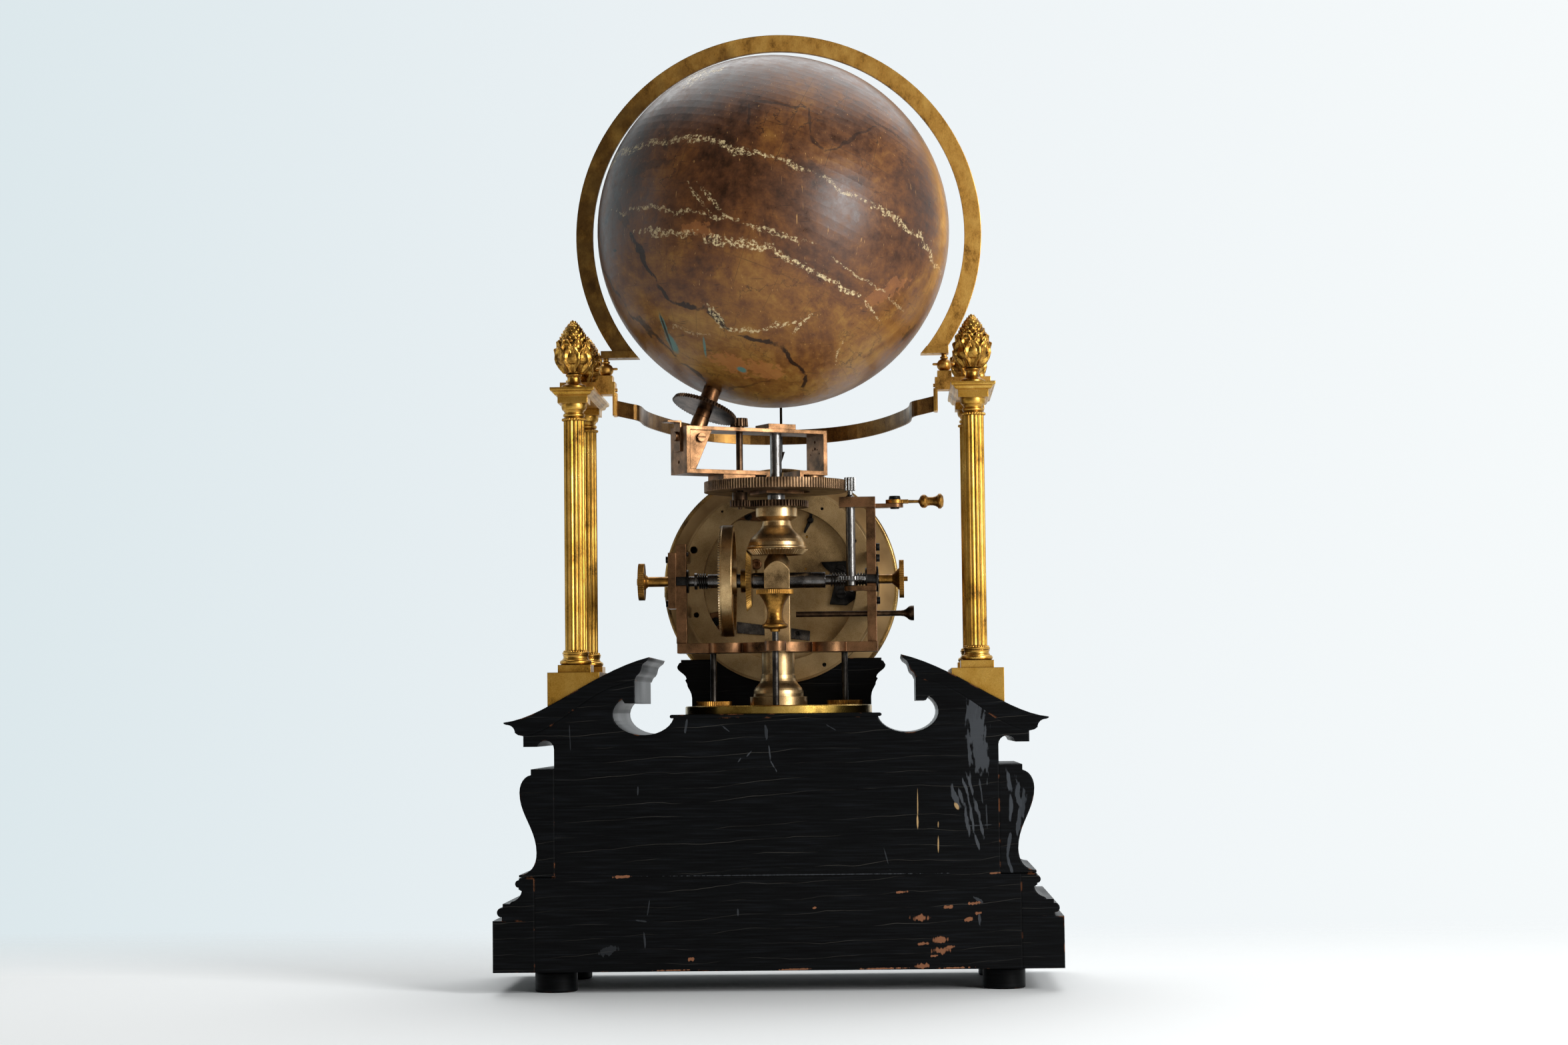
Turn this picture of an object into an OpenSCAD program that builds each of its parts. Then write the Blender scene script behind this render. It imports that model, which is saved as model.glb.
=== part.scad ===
// Globe clock on a scrolled wooden case: a terrestrial globe turned by open gearing above a drum clock.
// Origin on the ground under the globe's upright axis. X to the right and Y away from the viewer of
// the gear side, so the dial faces +Y. Z up.

/* [Case] */
// Width of the plinth block
plinth_w = 325.6; // [300:1:350]
// Depth of the plinth block
plinth_d = 136; // [128:1:150]
// Height of the plinth block
plinth_h = 29.4; // [20:0.5:40]
// Distance from the globe's upright axis to the case's flat back
case_back = 56; // [54:0.5:58]
// Depth of the carcass above the mouldings
body_d = 120; // [112:1:120]
// Height of the carcass from the mouldings to the plate under the brass disc
body_h = 90.2; // [86:0.5:96]
// Thickness of the back board
board_t = 8; // [5:0.5:12]
// Wall of the hollow carcass
wall_t = 12; // [8:0.5:16]
// Diameter of a foot
foot_d = 24.5; // [18:0.5:32]
// Height of a foot
foot_h = 12.7; // [9:0.5:20]
// Distance of a foot's centre from the plinth's end
foot_in = 33.8; // [24:0.5:45]
// Distance of a foot's centre from the plinth's long side
foot_side = 24; // [20:0.5:30]
// Thickness of the plate under the brass disc
ped_t = 2.1; // [1.5:0.1:4]

/* [Columns] */
// Distance from the middle of the case to a column
col_x = 116; // [113:0.5:119]
// Distance between the near and the far column
col_span = 74; // [66:1:80]
// Height of the gilt block's top above the base mouldings
block_top = 117.3; // [112:0.5:122]
// Width of a gilt block
block_w = 30; // [24:0.5:32]
// Diameter of a column shaft
shaft_d = 12.2; // [10:0.2:14]
// Height of a fluted shaft
shaft_h = 133.5; // [120:0.5:150]
// Number of flutes
flutes = 18; // [12:2:24]
// Height of a column base
base_h = 12.8; // [10:0.2:16]
// Height of a capital
capital_h = 13.5; // [11:0.5:16]
// Height of an entablature
entab_h = 5.2; // [4:0.2:8]
// Height of a finial
finial_h = 40; // [32:0.5:48]

/* [Light ring] */
// Gap between the globe and the light ring
ring_gap = 6; // [5:0.5:8]
// Width of the light ring's band
ring_w = 10; // [6:0.5:12]
// Thickness of the light ring
ring_t = 3; // [2:0.1:4]
// Offset of the light ring to the right of the globe's centre
ring_right = 3; // [0:0.5:3.5]
// Offset of the light ring below the globe's centre
ring_down = 2; // [0:0.5:3]
// Height of the strap's band
strap_h = 9.2; // [6:0.1:10]
// Thickness of the strap
strap_t = 1.2; // [0.8:0.1:2]
// How far the strap's middle stays inside the globe's outline
strap_in = 4.5; // [4:0.5:8]

/* [Stand] */
// Radius of the brass disc
disc_r = 55; // [52:0.5:55.5]
// Thickness of the brass disc
disc_t = 4.8; // [3:0.1:7]
// Height of the turned pillar
pillar_h = 31.2; // [26:0.2:38]
// Thickness of the frame plate
frame_t = 5.8; // [4:0.1:7]
// Half length of the frame plate
frame_hw = 59; // [58.5:0.1:62]
// Side of the square post
post_w = 15; // [13:0.1:18]
// Radius of the circle of levelling rods
rod_pcd_r = 41.5; // [40:0.1:44]
// Diameter of a levelling rod
rod_d = 3.7; // [3:0.1:5]
// Diameter of a flat knurled nut
nut_d = 21.6; // [16:0.2:22]
// Thickness of a flat knurled nut
nut_t = 2.8; // [2:0.1:4]

/* [Gearing] */
// Radius of the globe
globe_r = 104.5; // [96:0.5:106]
// Wall of the hollow globe
globe_wall = 3; // [2:0.5:6]
// Gap between the cage's top and the globe
globe_gap = 16.2; // [15:0.2:18]
// Gap between the globe and the wheel on its arbor
wheel_gap = 12.5; // [11.5:0.5:13.5]
// Tilt of the globe's axis from upright
tilt = 23.5; // [22.5:0.1:24]
// Height of the main shaft above the frame plate
shaft_up = 36.8; // [35:0.1:40]
// Angle of the cage about the upright axis at rest
cage_turn = 30; // [20:1:40]
// Diameter of the steel central shaft
centre_d = 6.8; // [5.6:0.1:7.4]
// Pitch radius of the bevel wheels
bevel_r = 18; // [17.4:0.1:18.6]
// Number of teeth of the bevel wheels
bevel_n = 60; // [48:4:64]
// Number of teeth of the annual gear
annual_n = 146; // [146:1:146]
// Number of leaves of the annual pinion
annual_pn = 10; // [10:1:10]
// Distance of the annual arbor to the right of the globe's axis
arbor_x = 43.8; // [43:0.1:44.4]
// Pitch radius of the worm
worm_r = 3.6; // [3.4:0.05:3.8]
// Number of teeth of the worm wheel
worm_n = 30; // [30:1:30]
// Distance from the planet arbor to the globe's upright axis
planet_u = 24.2; // [23.6:0.1:24.8]
// Number of teeth of the spur gear on the bell hub
sun_n = 60; // [60:1:60]
// Number of teeth of the planet arbor's lower pinion
planet_n = 18; // [18:1:18]
// Number of teeth of the globe wheel
globe_n = 64; // [64:1:64]
// Number of teeth of the planet arbor's upper pinion
planet_top_n = 16; // [16:1:16]
// Outer radius of the large drive wheel
drive_r = 33; // [31:0.2:34]
// Number of teeth of the large drive wheel
drive_n = 120; // [120:1:120]
// Number of leaves of the drive pinion
drive_pn = 10; // [10:1:10]
// Diameter of the left knob
knob_left_d = 21.8; // [16:0.2:26]
// Diameter of the right knob
knob_right_d = 22.4; // [16:0.2:26]
// Travel of the push rod
rod_travel = 3; // [1:0.5:5]

/* [Drum] */
// Outer radius of the drum's body
body_r = 60.4; // [60:0.1:60.8]
// Outer radius of the drum's wide front rim and of the bezel
drum_r = 72; // [71:0.5:74]
// Depth of the drum
drum_d = 36; // [35:0.5:40]
// Depth of the drum's wide front rim
pan_d = 9; // [8:0.5:10]
// Wall of the drum
drum_wall = 1.4; // [1:0.1:2.5]
// Radius of the round recess in the back plate
recess_r = 46.5; // [45:0.5:50]
// Gap between the movement plates
plate_gap = 16; // [15:0.5:18]
// Thickness of a movement plate
plate_t = 2; // [1.5:0.1:3]
// Radius of the dial
dial_r = 62; // [58:0.5:64]
// Width of the bezel's ring
bezel_w = 9; // [7:0.5:10]

/* [Fits] */
// Radial running clearance of a shaft in its hole
run = 0.05; // [0.02:0.01:0.09]
// Gap left between pieces that face each other but turn or slide apart
gap = 0.3; // [0.2:0.05:0.4]

/* [Hidden] */
$fn = 64;
eps = 0.01;

// Heights of the case
y_back = -case_back;
y_plinth = y_back + plinth_d;
y_front = y_back + body_d;
z_plinth = foot_h;
z_mould = z_plinth + plinth_h;
mould_h = 24.2;
z_body = z_mould + mould_h;
z_ped = z_body + body_h;
z_disc = z_ped + ped_t;
z_pillar = z_disc + disc_t;
z_frame = z_pillar + pillar_h;
z_post = z_frame + frame_t;
z_shaft = z_post + shaft_up;
z_annual = z_shaft + 52.3;
z_cage_bar = z_annual + 9;
z_cage_top = z_shaft + 86.7;
z_globe = z_cage_top + globe_gap + globe_r;
axis_y = 0;

// Carcass half width and the outline's main heights, measured from the top of the base mouldings
body_hw = 127;
ear_hw = body_hw + 17.6;
tip_hw = ear_hw + 11.3;
back_hw = body_hw + 11.8;
z_rail = z_body + 80.8;
z_ear = z_body + 74.8;

function arc(c, r, a0, a1, n) = [for (i = [0:n]) let (a = a0 + (a1 - a0) * i / n)
    [c[0] + r * cos(a), c[1] + r * sin(a)]];
function oval(c, ra, rb, a0, a1, n) = [for (i = [0:n]) let (a = a0 + (a1 - a0) * i / n)
    [c[0] + ra * cos(a), c[1] + rb * sin(a)]];
function bez(p, n) = [for (i = [0:n]) let (t = i / n, s = 1 - t)
    s * s * s * p[0] + 3 * s * s * t * p[1] + 3 * s * t * t * p[2] + t * t * t * p[3]];
function flip(pts) = [for (i = [len(pts) - 1:-1:0]) [-pts[i][0], pts[i][1]]];
function back(pts) = [for (i = [len(pts) - 1:-1:0]) pts[i]];
function up(pts, z) = [for (p = pts) [p[0], p[1] + z]];

// Extrudes an outline drawn in X and Z along Y
module along_y(y0, y1) {
    translate([0, y1, 0]) rotate([90, 0, 0]) linear_extrude(y1 - y0) children();
}
// Extrudes an outline drawn in Y and Z along X
module along_x(x0, x1) {
    translate([x0, 0, 0]) rotate([90, 0, 90]) linear_extrude(x1 - x0) children();
}
// Turns a profile of radius and height about Z, X or Y
module turn_z(pts) {
    rotate_extrude() polygon(pts);
}
module turn_x(pts) {
    rotate([0, 90, 0]) rotate_extrude() polygon(pts);
}
module turn_y(pts) {
    rotate([-90, 0, 0]) rotate_extrude() polygon(pts);
}
module both_sides() {
    children();
    mirror([1, 0, 0]) children();
}
module at_axis(z) {
    translate([0, axis_y, z]) children();
}

// Involute gear outline. add and ded are in modules, play is the share taken off each tooth.
pa = 20;
function inv(a) = tan(a) * 180 / PI - a;
function half_angle(n, m, r, play) = let (rb = m * n / 2 * cos(pa))
    90 / n * (1 - play) + inv(pa) - inv(acos(min(1, rb / max(r, rb))));
function tooth(n, m, rr, a, play) = [for (r = rr) let (h = half_angle(n, m, r, play))
    [r * cos(a - h), r * sin(a - h)]];
function tooth_back(n, m, rr, a, play) = [for (i = [len(rr) - 1:-1:0])
    let (h = half_angle(n, m, rr[i], play)) [rr[i] * cos(a + h), rr[i] * sin(a + h)]];
function gear_pts(n, m, add, ded, play, a0) = let (rp = m * n / 2,
    rr = [rp - ded * m, rp - 0.35 * m, rp, rp + add * m])
    [for (k = [0:n - 1]) for (p = concat(tooth(n, m, rr, a0 + 360 * k / n, play),
        tooth_back(n, m, rr, a0 + 360 * k / n, play))) p];
module gear_2d(n, m, add = 0.7, ded = 1.0, play = 0.14, a0 = 0) {
    polygon(gear_pts(n, m, add, ded, play, a0));
}
// Edge of a knurled nut
knurl_n = 60;
knurl_depth = 0.4;
module knurl_2d(r) {
    polygon([for (i = [0:2 * knurl_n - 1]) let (a = 180 * i / knurl_n)
        (r - (i % 2) * knurl_depth) * [cos(a), sin(a)]]);
}

// Case

module plinth() {
    color("#15151a") difference() {
        translate([-plinth_w / 2, y_back, z_plinth]) cube([plinth_w, plinth_d, plinth_h]);
        translate([-back_hw, y_back - eps, z_plinth - eps])
            cube([2 * back_hw, board_t + eps, plinth_h + 2 * eps]);
        translate([-plinth_w / 2 + wall_t * 2, y_back + board_t + wall_t, z_plinth - eps])
            cube([plinth_w - wall_t * 4, plinth_d - board_t - wall_t * 2, plinth_h - wall_t + eps]);
    }
}

// Inset from the plinth's edge and height of each member: fillet, torus, step, hollow, bead and fillet
torus_r = 2.8;
hollow_w = 7;
bead_r = 2.2;
mould_steps = concat([[5.3, 0], [5.3, 2.2]],
    [for (p = arc([5.3, 4.8], torus_r, -60, 60, 8)) [10.6 - p[0], p[1]]],
    [[5.8, 7.6], [5.8, 9.7], [9.8, 9.7]], [for (p = arc([9.8, 17.9], hollow_w, -80, -8, 8)) [p[0], p[1]]],
    [[15, 17.9], [15, 18.9]], [for (p = arc([15.2, 21], bead_r, -65, 65, 8)) [30.4 - p[0], p[1]]],
    [[15.2, 23.1], [15.2, mould_h]]);
function mould_edge(half) = [for (s = mould_steps) [half - s[0], z_mould + s[1]]];

module base_moulding() {
    side = mould_edge(plinth_w / 2);
    color("#15151a") difference() {
        intersection() {
            along_y(y_back, y_plinth) polygon(concat(side, flip(side)));
            along_x(-plinth_w / 2, plinth_w / 2)
                polygon(concat(mould_edge(y_plinth), [[y_back, z_body], [y_back, z_mould]]));
        }
        translate([-back_hw, y_back - eps, z_mould - eps])
            cube([2 * back_hw, board_t + eps, mould_h + 2 * eps]);
        translate([-body_hw + wall_t, y_back + board_t - eps, z_mould - eps])
            cube([2 * (body_hw - wall_t), body_d - board_t - wall_t, mould_h + 2 * eps]);
    }
}

// Underside of the raking cornice, from the ear inwards, and its top, both as one curve each
pilaster_hw = 80.4;
rake_low = bez([[ear_hw, z_rail + 0.2], [ear_hw - 20.6, z_rail + 2.9], [ear_hw - 34.6, z_rail + 24.9],
    [pilaster_hw + 6.3, z_rail + 29.8]], 12);
rake_top = bez([[tip_hw, z_rail + 8.1], [tip_hw - 23.9, z_rail + 10.4], [tip_hw - 51.9, z_rail + 36.9],
    [pilaster_hw - 8.3, z_rail + 44.6]], 14);
pilaster_w = 5.8;
z_pilaster = z_rail + 18.3;
scroll_c = [pilaster_hw - 4.9, z_rail + 12];
scroll_a = 17.6;
scroll_b = 12;
scroll_end = -180 + asin((scroll_c[1] - z_ped) / scroll_b);
notch_r = 5;
notch_drop = 1.4;

function case_half() = concat([[body_hw, z_body]],
    arc([body_hw + notch_r, z_ear - notch_drop], notch_r, 180, asin(notch_drop / notch_r), 8),
    [[ear_hw, z_ear]], rake_low, [[pilaster_hw, z_rail + 31.5], [pilaster_hw, z_pilaster],
    [pilaster_hw + pilaster_w, z_pilaster]], oval(scroll_c, scroll_a, scroll_b, 46, scroll_end, 20));

module case_2d() {
    half = case_half();
    polygon(concat(half, flip(half)));
}

module case_body() {
    color("#17171c") {
        difference() {
            along_y(y_back + board_t, y_front) case_2d();
            translate([-body_hw + wall_t, y_back + board_t - eps, z_body - eps])
                cube([2 * (body_hw - wall_t), body_d - board_t - wall_t, z_ear - z_body - wall_t / 2]);
        }
        along_y(y_back, y_front) polygon(concat([[-plate_hw + ped_t / 2, z_ped]],
            arc([plate_hw - ped_t / 2, z_ped + ped_t / 2], ped_t / 2, -90, 90, 6),
            arc([-plate_hw + ped_t / 2, z_ped + ped_t / 2], ped_t / 2, 90, 270, 6)));
    }
}
plate_hw = 60.5;

module back_board() {
    color("#1a1a1f") along_y(y_back, y_back + board_t) union() {
        case_2d();
        translate([-back_hw, z_plinth]) square([2 * back_hw, z_body - z_plinth]);
    }
}

// Shaped profile of a side console, measured from the top of the base mouldings
console_z = 62;
foot_hw = body_hw + 20.5;
waist_hw = body_hw + 10.4;
bulge_hw = body_hw + 20;
head_hw = body_hw + 13.4;
console_half = concat([[body_hw, 0.5], [foot_hw, 0.5]],
    bez([[foot_hw, 1.8], [foot_hw - 6.5, 2.2], [waist_hw, 7], [waist_hw, 14.3]], 8),
    bez([[waist_hw, 14.3], [waist_hw, 28], [bulge_hw, 36], [bulge_hw, 48.7]], 10),
    bez([[bulge_hw, 48.7], [bulge_hw, 54.2], [head_hw + 3.6, 58.3], [head_hw, 58.7]], 6),
    [[head_hw, console_z], [body_hw, console_z]]);

module side_consoles() {
    color("#17171c") both_sides() along_y(y_back, y_front) polygon(up(console_half, z_body));
}

cornice_out = 8;
module cornice_2d() {
    x = pilaster_hw;
    polygon(concat(back(rake_low), [[ear_hw + 2.9, z_rail + 0.8], [ear_hw + 4.8, z_rail + 2.1]],
        arc([tip_hw - 1.9, z_rail + 2.1], 4.6, 170, 100, 5),
            [[tip_hw - 1.4, z_rail + 6.8], [tip_hw, z_rail + 7.4]],
        rake_top, [[x - 7.2, z_rail + 42.5], [x - 5.8, z_rail + 41.5]],
        bez([[x - 5.8, z_rail + 41.5], [x - 2.8, z_rail + 40], [x - 4.9, z_rail + 36],
            [x - 1.1, z_rail + 34]], 6),
        [[pilaster_hw, z_rail + 31.5]]));
}

module pediment_cornices() {
    color("#17171c") both_sides() along_y(y_back, y_front + cornice_out) cornice_2d();
}

module feet() {
    color("#1b1a1c") for (sx = [-1, 1], y = [y_back + foot_side, y_plinth - foot_side])
        translate([sx * (plinth_w / 2 - foot_in), y, 0])
            turn_z(concat([[0, 0], [foot_d / 2 - 1.2, 0]], arc([foot_d / 2 - 1.2, 1.2], 1.2, -90, 0, 4),
                [[foot_d / 2, foot_h - 2], [foot_d / 2 - 0.8, foot_h], [0, foot_h]]));
}

// Columns

z_block = z_body + block_top;
plinth_sq = 19;
z_shaft_col = z_block + base_h;
z_cap = z_shaft_col + shaft_h;
z_entab = z_cap + capital_h;
z_top = z_entab + entab_h;
col_y = [axis_y - col_span / 2, axis_y + col_span / 2];
entab_w = 25.6;
abacus_w = 17.4;
abacus_h = 3.6;

module at_columns(z) {
    for (sx = [-1, 1], y = col_y) translate([sx * col_x, y, z]) children();
}

module column_blocks() {
    color("#c9a04a") both_sides() along_y(col_y[0] - block_w / 2, col_y[1] + block_w / 2) difference() {
        translate([col_x - block_w / 2, z_rail]) square([block_w, z_block - z_rail]);
        polygon(concat(rake_top, [[0, z_block], [0, z_body], [2 * col_x, z_body]]));
    }
}

module column_bases() {
    color("#d9a93c") at_columns(z_block) {
        translate([-plinth_sq / 2, -plinth_sq / 2, 0]) cube([plinth_sq, plinth_sq, 4.4]);
        turn_z(concat([[0, 4.4]], arc([shaft_d / 2 + 1.6, 5.9], 1.5, -90, 90, 6),
            arc([shaft_d / 2 + 2.6, 9], 1.6, 230, 130, 5),
            arc([shaft_d / 2 + 0.9, 11.2], 0.8, -90, 90, 4), [[shaft_d / 2, base_h], [0, base_h]]));
    }
}

flute_depth = 0.55;
module column_shafts() {
    steps = 6;
    color("#d9a93c") at_columns(z_shaft_col) linear_extrude(shaft_h)
        polygon([for (i = [0:flutes * steps - 1])
            let (a = 360 * i / (flutes * steps), u = (i % steps) / steps)
            (shaft_d / 2 - flute_depth * sin(180 * u)) * [cos(a), sin(a)]]);
}

module column_capitals() {
    r = shaft_d / 2;
    h = capital_h - abacus_h;
    color("#d9a93c") at_columns(z_cap) {
        turn_z(concat([[0, 0]], arc([r + 0.05, 0.09 * h], 0.07 * h, -90, 90, 5), [[r - 0.6, 0.18 * h]],
            arc([r - 0.9, 0.33 * h], 0.12 * h, -80, 80, 6), [[r - 0.6, 0.5 * h], [r - 0.2, 0.56 * h]],
            bez([[r, 0.6 * h], [r + 1, 0.62 * h], [r + 1.4, 0.8 * h], [r + 1.3, h]], 6), [[0, h]]));
        translate([-abacus_w / 2, -abacus_w / 2, h]) cube([abacus_w, abacus_w, abacus_h]);
    }
}

module entablatures() {
    hw = entab_w / 2;
    y0 = col_y[0] - hw;
    y1 = col_y[1] + hw;
    color("#cfa245") both_sides() {
        intersection() {
            along_y(y0, y1) translate([col_x, z_entab]) polygon(concat(
                [[hw - 4, 0]], bez([[hw - 4, 0.6], [hw - 1, 0.8], [hw - 2.6, 3], [hw - 0.4, 3.2]], 5),
                [[hw, entab_h - 1.4], [hw, entab_h], [-hw, entab_h], [-hw, entab_h - 1.4]],
                back(bez([[4 - hw, 0.6], [1 - hw, 0.8], [2.6 - hw, 3], [0.4 - hw, 3.2]], 5)),
                    [[4 - hw, 0]]));
            along_x(col_x - hw, col_x + hw) polygon(concat([[y1 - 4, z_entab]],
                up(bez([[y1 - 4, 0.6], [y1 - 1, 0.8], [y1 - 2.6, 3], [y1 - 0.4, 3.2]], 5), z_entab),
                [[y1, z_top - 1.4], [y1, z_top], [y0, z_top], [y0, z_top - 1.4]],
                up(back(bez([[y0 + 4, 0.6], [y0 + 1, 0.8], [y0 + 2.6, 3], [y0 + 0.4, 3.2]], 5)), z_entab),
                [[y0 + 4, z_entab]]));
        }
    }
}

module finials() {
    s = finial_h / 40;
    color("#d9a93c") at_columns(z_top) scale(s) turn_z(concat([[0, 0]], arc([6.2, 1.1], 1.1, -90, 90, 5),
        bez([[6, 2.2], [4.2, 3], [3.7, 4.2], [3.7, 6.4]], 5), arc([3.9, 8], 0.8, -80, 80, 4),
        bez([[3.4, 9.2], [3.4, 12], [10.6, 12.6], [10.4, 17.5]], 7),
            bez([[10.2, 19], [9.6, 22.5], [8, 24], [7.5, 24.6]], 5),
        bez([[7.5, 25], [7.6, 32], [4.4, 38], [0, 40]], 9)));
}

// Light ring and sun strap

bar_w = 12;
bar_t = 7.4;
block_l = 8.4;
block_t = 11.2;
z_bar = z_top;
z_ring_foot = z_bar + 21.6;
foot_t = 4.2;
ring_ri = globe_r + ring_gap;
ring_ro = ring_ri + ring_w;
z_ring = z_globe - ring_down;
ring_foot_x = sqrt(pow(ring_ri + ring_w / 2, 2) - pow(z_ring - z_ring_foot, 2));
strut_x = ring_foot_x + 10.4;
bar_x0 = strut_x - block_l / 2;
bar_x1 = col_x + 11.5;
hanger_t = 1.5;
hanger_z = z_entab - 7.4;
tab_t = 0.9;
tab_h = 13.6;
strap_x = bar_x0 - hanger_t - tab_t;
strap_bow = globe_r - strap_in;

module ring_brackets() {
    color("#b8923f") both_sides() {
        difference() {
            union() {
                translate([bar_x0, axis_y - bar_w / 2, z_bar]) cube([bar_x1 - bar_x0, bar_w, bar_t]);
                translate([bar_x0, axis_y - bar_w / 2, z_bar]) cube([block_l, bar_w, block_t]);
            }
            translate([strut_x, axis_y, z_bar - 1]) cylinder(h = block_t + 2, d = 3);
            translate([bar_x1 - 6, axis_y, z_bar - 1]) cylinder(h = bar_t + 2, d = 3.4);
        }
        translate([strut_x, axis_y, 0]) turn_z(concat([[0, z_bar], [1.5, z_bar], [1.5, z_bar + block_t]],
            up(arc([0.6, 15], 3.8, -80, 62, 9), z_bar),
            [[1.6, z_bar + 18.6], [2.4, z_bar + 19], [2.4, z_bar + 19.8], [1.6, z_bar + 20.2],
                [1.6, z_ring_foot],
            [0, z_ring_foot]]));
        translate([bar_x1 - 6, axis_y, 0]) turn_z([[0, z_bar], [1.7, z_bar], [1.7, z_bar + bar_t],
            [3, z_bar + bar_t], [3, z_bar + bar_t + 1.6], [0, z_bar + bar_t + 1.6]]);
        difference() {
            translate([bar_x0 - hanger_t, axis_y - bar_w / 2, hanger_z])
                cube([hanger_t, bar_w, z_bar - hanger_z + bar_t]);
            translate([bar_x0 - hanger_t - 1, axis_y, z_bar + 3]) rotate([0, 90, 0])
                cylinder(h = 4, d = 2.2);
        }
        translate([bar_x0 - hanger_t - 1, axis_y, z_bar + 3]) rotate([0, 90, 0])
            cylinder(h = 1 + hanger_t, d = 2.2);
        translate([strap_x, axis_y - bar_w / 3, hanger_z]) cube([tab_t, bar_w * 2 / 3, tab_h]);
    }
}

module light_ring() {
    color("#b8923f") {
        difference() {
            along_y(axis_y - ring_t / 2, axis_y + ring_t / 2) translate([ring_right, z_ring])
                difference() {
                circle(r = ring_ro, $fn = 180);
                circle(r = ring_ri, $fn = 180);
            }
            translate([ring_right - ring_ro - 1, axis_y - ring_t, z_ring - ring_ro - 1])
                cube([2 * ring_ro + 2, 2 * ring_t, z_ring_foot + foot_t - z_ring + ring_ro + 1]);
        }
        difference() {
            both_sides() difference() {
                translate([ring_foot_x - ring_w, axis_y - bar_w / 2, z_ring_foot])
                    cube([strut_x - ring_foot_x + ring_w + 2.6, bar_w, foot_t]);
                for (dx = [-0.6, 3.6]) translate([ring_foot_x + dx, axis_y - 4, z_ring_foot - 1])
                    cylinder(h = foot_t + 2, d = 1.8);
            }
            along_y(axis_y - bar_w, axis_y + bar_w) translate([ring_right, z_ring])
                circle(r = ring_ri, $fn = 180);
        }
    }
}

// Strap centre line in plan, from the right hanger round the far side, and its height along the way
function strap_plan(w = strap_x, b = strap_bow) = concat(
    bez([[0, b], [0.45 * w, b], [0.66 * w, 0.78 * b], [0.76 * w, 0.56 * b]], 12),
    bez([[0.77 * w, 0.54 * b], [0.81 * w, 0.46 * b], [0.855 * w, 0.36 * b], [0.855 * w, 0.2 * b]], 5),
    bez([[0.855 * w, 0.15 * b], [0.855 * w, 0.02 * b], [0.87 * w, -0.012 * b], [0.92 * w, 0]], 6));
strap_drop = 9.6;
function strap_z(x) = hanger_z - strap_drop + strap_drop * pow(abs(x) / strap_x, 2.4);

module sun_strap() {
    half = concat(strap_plan(), [[strap_x, 0]]);
    line = concat(flip(half), [for (i = [1:len(half) - 1]) half[i]]);
    n = len(line) - 1;
    function side(i) = let (a = line[max(0, i - 1)], b = line[min(n, i + 1)], d = b - a)
        [-d[1], d[0]] / norm(d) * strap_t / 2;
    pts = [for (i = [0:n]) for (p = [line[i] + side(i), line[i] - side(i)]) for (h = [0, 1])
        let (z = strap_z(line[i][0])) [p[0], p[1] + axis_y, z + h * strap_h]];
    walls = [for (i = [0:n - 1]) for (q = [[0, 4, 5, 1], [3, 7, 6, 2], [2, 6, 4, 0], [1, 5, 7, 3]])
        for (t = [[0, 1, 2], [0, 2, 3]]) [for (k = t) 4 * i + q[k]]];
    ends = [[0, 1, 3], [0, 3, 2], [4 * n + 1, 4 * n, 4 * n + 3], [4 * n + 3, 4 * n, 4 * n + 2]];
    color("#7d6136") polyhedron(pts, [for (f = concat(walls, ends)) [f[2], f[1], f[0]]]);
}

// Sun pointer of flat steel, fixed to the inner side of the strap: a small arrow below, a blade above
pointer_z = z_shaft + 78;
pointer_up = z_globe - 0.38 * globe_r;
module sun_pointer() {
    w = 1.6;
    zs = strap_z(0);
    y = axis_y + strap_bow - strap_t / 2 - 0.08;
    // Blade up the inner side of the strap and on along the globe, slightly bowed
    blade = concat([[y, zs - 4.6], [y, zs + strap_h]],
        bez([[y, zs + strap_h], [y, zs + 26], [y + 2.2, zs + 44],
        [y + 3.4, pointer_up]], 8));
    color("#5b5a55") {
        along_x(-w / 2, w / 2) polygon(concat(blade, [for (q = back(blade)) [q[0] - w * 0.8, q[1]]]));
        along_y(y - w * 0.8, y) polygon([[-2.2, zs - 4.6], [0, pointer_z], [2.2, zs - 4.6]]);
    }
}

// Stand

rod_a = [-90, 20, 160];
module at_rods(z) {
    for (a = rod_a) translate([rod_pcd_r * cos(a), axis_y + rod_pcd_r * sin(a), z]) children();
}
rod_low = 0.8;
rod_proud = 0.6;
cup_z = z_post + 5.4;
cup_h = 24.8;

module base_disc() {
    color("#b69a45") difference() {
        at_axis(z_disc) turn_z([[0, 0], [disc_r, 0], [disc_r, disc_t - 0.6], [disc_r - 0.6, disc_t],
            [0, disc_t]]);
        at_rods(z_disc + disc_t - rod_low) cylinder(h = 5, d = rod_d + 2 * run);
    }
}

module levelling_rods() {
    z0 = z_disc + disc_t - rod_low;
    color("#55524c") {
        for (a = [rod_a[1], rod_a[2]]) translate([rod_pcd_r * cos(a), axis_y + rod_pcd_r * sin(a), z0])
            cylinder(h = z_post - z0 + rod_proud, d = rod_d);
        translate([0, axis_y - rod_pcd_r, z0]) cylinder(h = cup_z + cup_h - 3 - z0, d = rod_d);
    }
}

module levelling_nuts() {
    color("#a98c4a") for (a = [rod_a[1], rod_a[2]])
        translate([rod_pcd_r * cos(a), axis_y + rod_pcd_r * sin(a), z_pillar]) difference() {
            linear_extrude(nut_t) knurl_2d(nut_d / 2);
            translate([0, 0, -1]) cylinder(h = nut_t + 2, d = rod_d + 2 * run);
        }
}

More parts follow.
